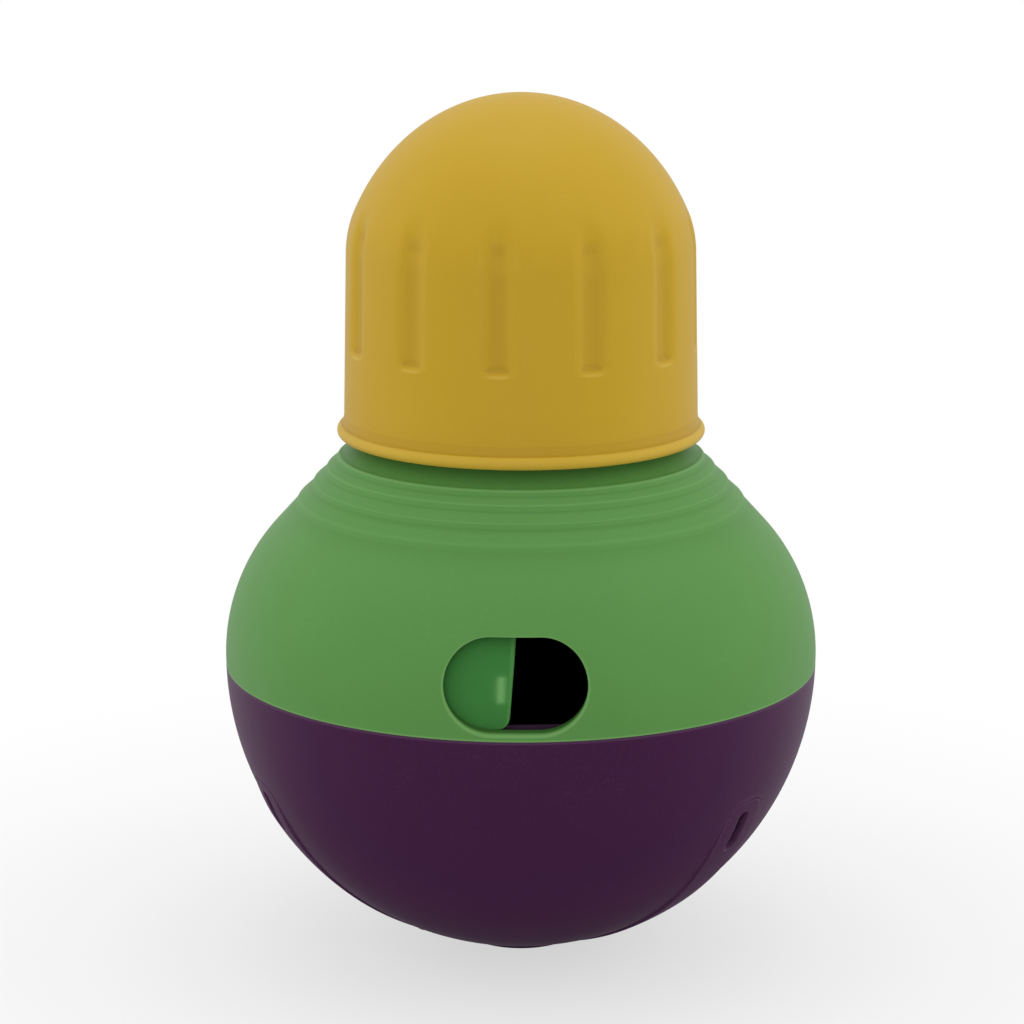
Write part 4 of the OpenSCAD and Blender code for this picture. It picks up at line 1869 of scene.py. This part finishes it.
@dataclass(frozen=True)
class EasedPart(Part):
    """A solid whose shape is right as packed; its edges are eased as moulding leaves them."""

    seat: Seat
    ease: float
    flat_turn: float = 0.5
    sharp_turn: float = 30.0
    crease: float = 35.0

    def build(self) -> bpy.types.Object:
        """Copy the solid's mesh and ease its sharp edges.

        Returns:
            The eased part.
        """
        work = bmesh.new()
        work.from_mesh(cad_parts[self.seat.node].data)
        bmesh.ops.remove_doubles(work, verts=work.verts, dist=TWIN_POINT)
        flat = math.radians(self.flat_turn)
        bmesh.ops.dissolve_limit(work, angle_limit=flat, verts=work.verts, edges=work.edges)
        sharp = math.radians(self.sharp_turn)
        bmesh.ops.bevel(
            work,
            geom=[e for e in work.edges if e.is_manifold and e.calc_face_angle(0.0) > sharp],
            offset=self.ease * MM,
            offset_type="OFFSET",
            segments=2,
            profile=0.5,
            affect="EDGES",
            clamp_overlap=True,
        )
        mesh = bpy.data.meshes.new(self.seat.name)
        work.to_mesh(mesh)
        work.free()
        if "custom_normal" in mesh.attributes:
            mesh.attributes.remove(mesh.attributes["custom_normal"])
        return shaded(self.seat.name, mesh, self.crease)


INNER_PARTS = (
    EasedPart(Seat("track_ring", "shutter_track", Body.HOUSING, Slot.BOWL, SHADED_PLUM), 0.35),
    EasedPart(Seat("ballast_casting", "ballast", Body.HOUSING, Slot.IRON, BALLAST_IRON), 0.6),
    EasedPart(Seat("ballast_lid", "ballast_cover", Body.HOUSING, Slot.BOWL, SHADED_PLUM), 0.35),
    EasedPart(Seat("lid_screws", "cover_screws", Body.HOUSING, Slot.STEEL, SCREW_STEEL), 0.18),
    EasedPart(
        Seat("chamber_floor_plate", "chamber_floor", Body.INSERT, Slot.DOME, GREEN_PLASTIC), 0.3
    ),
    EasedPart(Seat("metering_disc", "meter_disc", Body.METER, Slot.CAP, YELLOW_PLASTIC), 0.3),
    EasedPart(Seat("metering_pivot", "meter_pivot", Body.INSERT, Slot.DOME, GREEN_PLASTIC), 0.3),
)


@dataclass(frozen=True)
class Panel:
    """One soft lamp: where it hangs, its width and height, its power and what it points at."""

    name: str
    spot: tuple[float, float, float]
    size: Point2
    power: float
    gloss: bool = False
    target: tuple[float, float, float] = (0.0, 0.0, 0.14)

    def hang(self) -> None:
        """Put the lamp into the scene."""
        data = bpy.data.lights.new(self.name, "AREA")
        data.shape = "RECTANGLE"
        data.size, data.size_y = self.size
        data.energy = self.power
        lamp = linked(self.name, data)
        lamp.visible_glossy = self.gloss
        lamp.location = self.spot
        aim = Vector(self.target) - Vector(self.spot)
        lamp.rotation_euler = aim.to_track_quat("-Z", "Y").to_euler()


@dataclass
class Studio:
    """Pale floor, soft light and the camera, in metres."""

    lens: float = 106.93
    sensor: float = 36.0
    distance: float = 1.0
    side: float = -0.003
    height: float = 0.3777
    pitch: float = 12.87
    turn: float = 0.8
    floor_reach: float = 12.0
    floor_grey: float = 0.75
    shadow_light: float = 0.62
    shadow_reach: Point2 = (0.12, 0.36)
    near_light: float = 0.736
    far_light: float = 0.992
    top_light: float = 0.16
    dark_side: float = 0.06
    dark_below: float = 0.12
    mirrored_light: float = 0.8
    behind_levels: Point2 = (-0.7, 0.4)
    above_levels: Point2 = (-0.75, -0.2)
    top_levels: Point2 = (0.2, 0.9)
    panels: tuple[Panel, ...] = (
        Panel("overhead_panel", (0.0, 0.1, 1.65), (1.0, 0.8), 2.4, gloss=True),
        Panel("left_panel", (-1.45, -0.2, 0.8), (0.5, 1.4), 2.4),
        Panel("right_panel", (1.45, -0.2, 0.8), (0.5, 1.4), 2.9),
        Panel("strip_panel", (-0.148, -1.25, 0.265), (0.06, 0.34), 0.3, True, (0.0, -0.1, 0.11)),
    )

    def camera(self) -> None:
        """Stand the camera at the viewing angle."""
        data = bpy.data.cameras.new("viewpoint")
        data.lens = self.lens
        data.sensor_width = self.sensor
        data.sensor_fit = "HORIZONTAL"
        data.clip_start = 0.01
        eye = linked("viewpoint", data)
        turn = math.radians(self.turn)
        spot = Vector((self.side, -self.distance, self.height))
        eye.location = Matrix.Rotation(turn, 4, "Z") @ spot
        eye.rotation_euler = (math.radians(90.0 - self.pitch), 0.0, turn)
        bpy.context.scene.camera = eye

    def floor(self) -> None:
        """Lay the pale floor; it keeps the shadow and runs out into white."""
        mesh = bpy.data.meshes.new("floor")
        sides = ((-1, -1), (1, -1), (1, 1), (-1, 1))
        corners = [(x * self.floor_reach, y * self.floor_reach, 0.0) for x, y in sides]
        mesh.from_pydata(corners, [], [(0, 1, 2, 3)])
        ground = linked("floor", mesh)
        ground.visible_glossy = False
        material = bpy.data.materials.new("pale_floor")
        material.use_nodes = True
        graph = Graph(material.node_tree)
        coords = graph.add("TexCoord", out="Object")
        away = graph.add("VectorMath", {"operation": "LENGTH"}, {0: coords}, "Value")
        light = self.shadow_light + away.ramp(*self.shadow_reach) * (1.0 - self.shadow_light)
        seen = path = graph.add("LightPath", out="Is Camera Ray")
        for name in ("Is Glossy Ray", "Is Transmission Ray"):
            seen = seen.largest(path.sibling(name))
        paint = graph.add("BsdfDiffuse", None, {"Color": (*[self.floor_grey] * 3, 1.0)})
        white = graph.add("Emission", None, {"Strength": 1.0})
        upper = graph.add("MixShader", None, {0: light * seen, 1: paint, 2: white})
        under = graph.add("NewGeometry", out="Backfacing")
        clear = graph.add("BsdfTransparent")
        surface = graph.add("MixShader", None, {0: under, 1: upper, 2: clear})
        graph.add("OutputMaterial", None, {"Surface": surface})
        mesh.materials.append(material)

    def sky(self) -> None:
        """Surround the scene with plain light that shows white and mirrors a dark near side."""
        world = bpy.data.worlds.new("studio")
        bpy.context.scene.world = world
        world.use_nodes = True
        graph = Graph(world.node_tree)
        path = graph.add("LightPath", out="Is Camera Ray")
        way = graph.add("TexCoord", out="Generated")
        back = graph.add("SeparateXYZ", None, {0: way}, "Y")
        high = back.sibling("Z")
        behind = back.ramp(*self.behind_levels)
        above = high.ramp(*self.above_levels)
        mirrored = path.sibling("Is Glossy Ray")
        plain = path.largest(path.sibling("Is Transmission Ray")) * (1.0 - mirrored)
        around = self.dark_side + behind * (1.0 - self.dark_side)
        around = around * (self.dark_below + above * (self.mirrored_light - self.dark_below))
        soft = self.near_light + behind * (self.far_light - self.near_light)
        soft = soft + high.ramp(*self.top_levels) * self.top_light
        strength = plain + mirrored * around + (1.0 - plain) * (1.0 - mirrored) * soft
        light = graph.add("Background", None, {"Color": WHITE, "Strength": strength})
        graph.add("OutputWorld", None, {"Surface": light})

    def dress(self) -> None:
        """Set up the whole studio."""
        self.camera()
        self.floor()
        self.sky()
        for panel in self.panels:
            panel.hang()


def main() -> None:
    """Build every sub-assembly in order, then the studio."""
    logging.basicConfig(level=logging.INFO, format="%(name)s: %(message)s")
    bpy.context.scene.view_settings.view_transform = "Standard"
    for assembly in (Bowl(), RubberFoot(), Dome(), Shutter(), ChamberCap(), *INNER_PARTS, Studio()):
        assembly.dress()


if __name__ == "__main__":
    main()
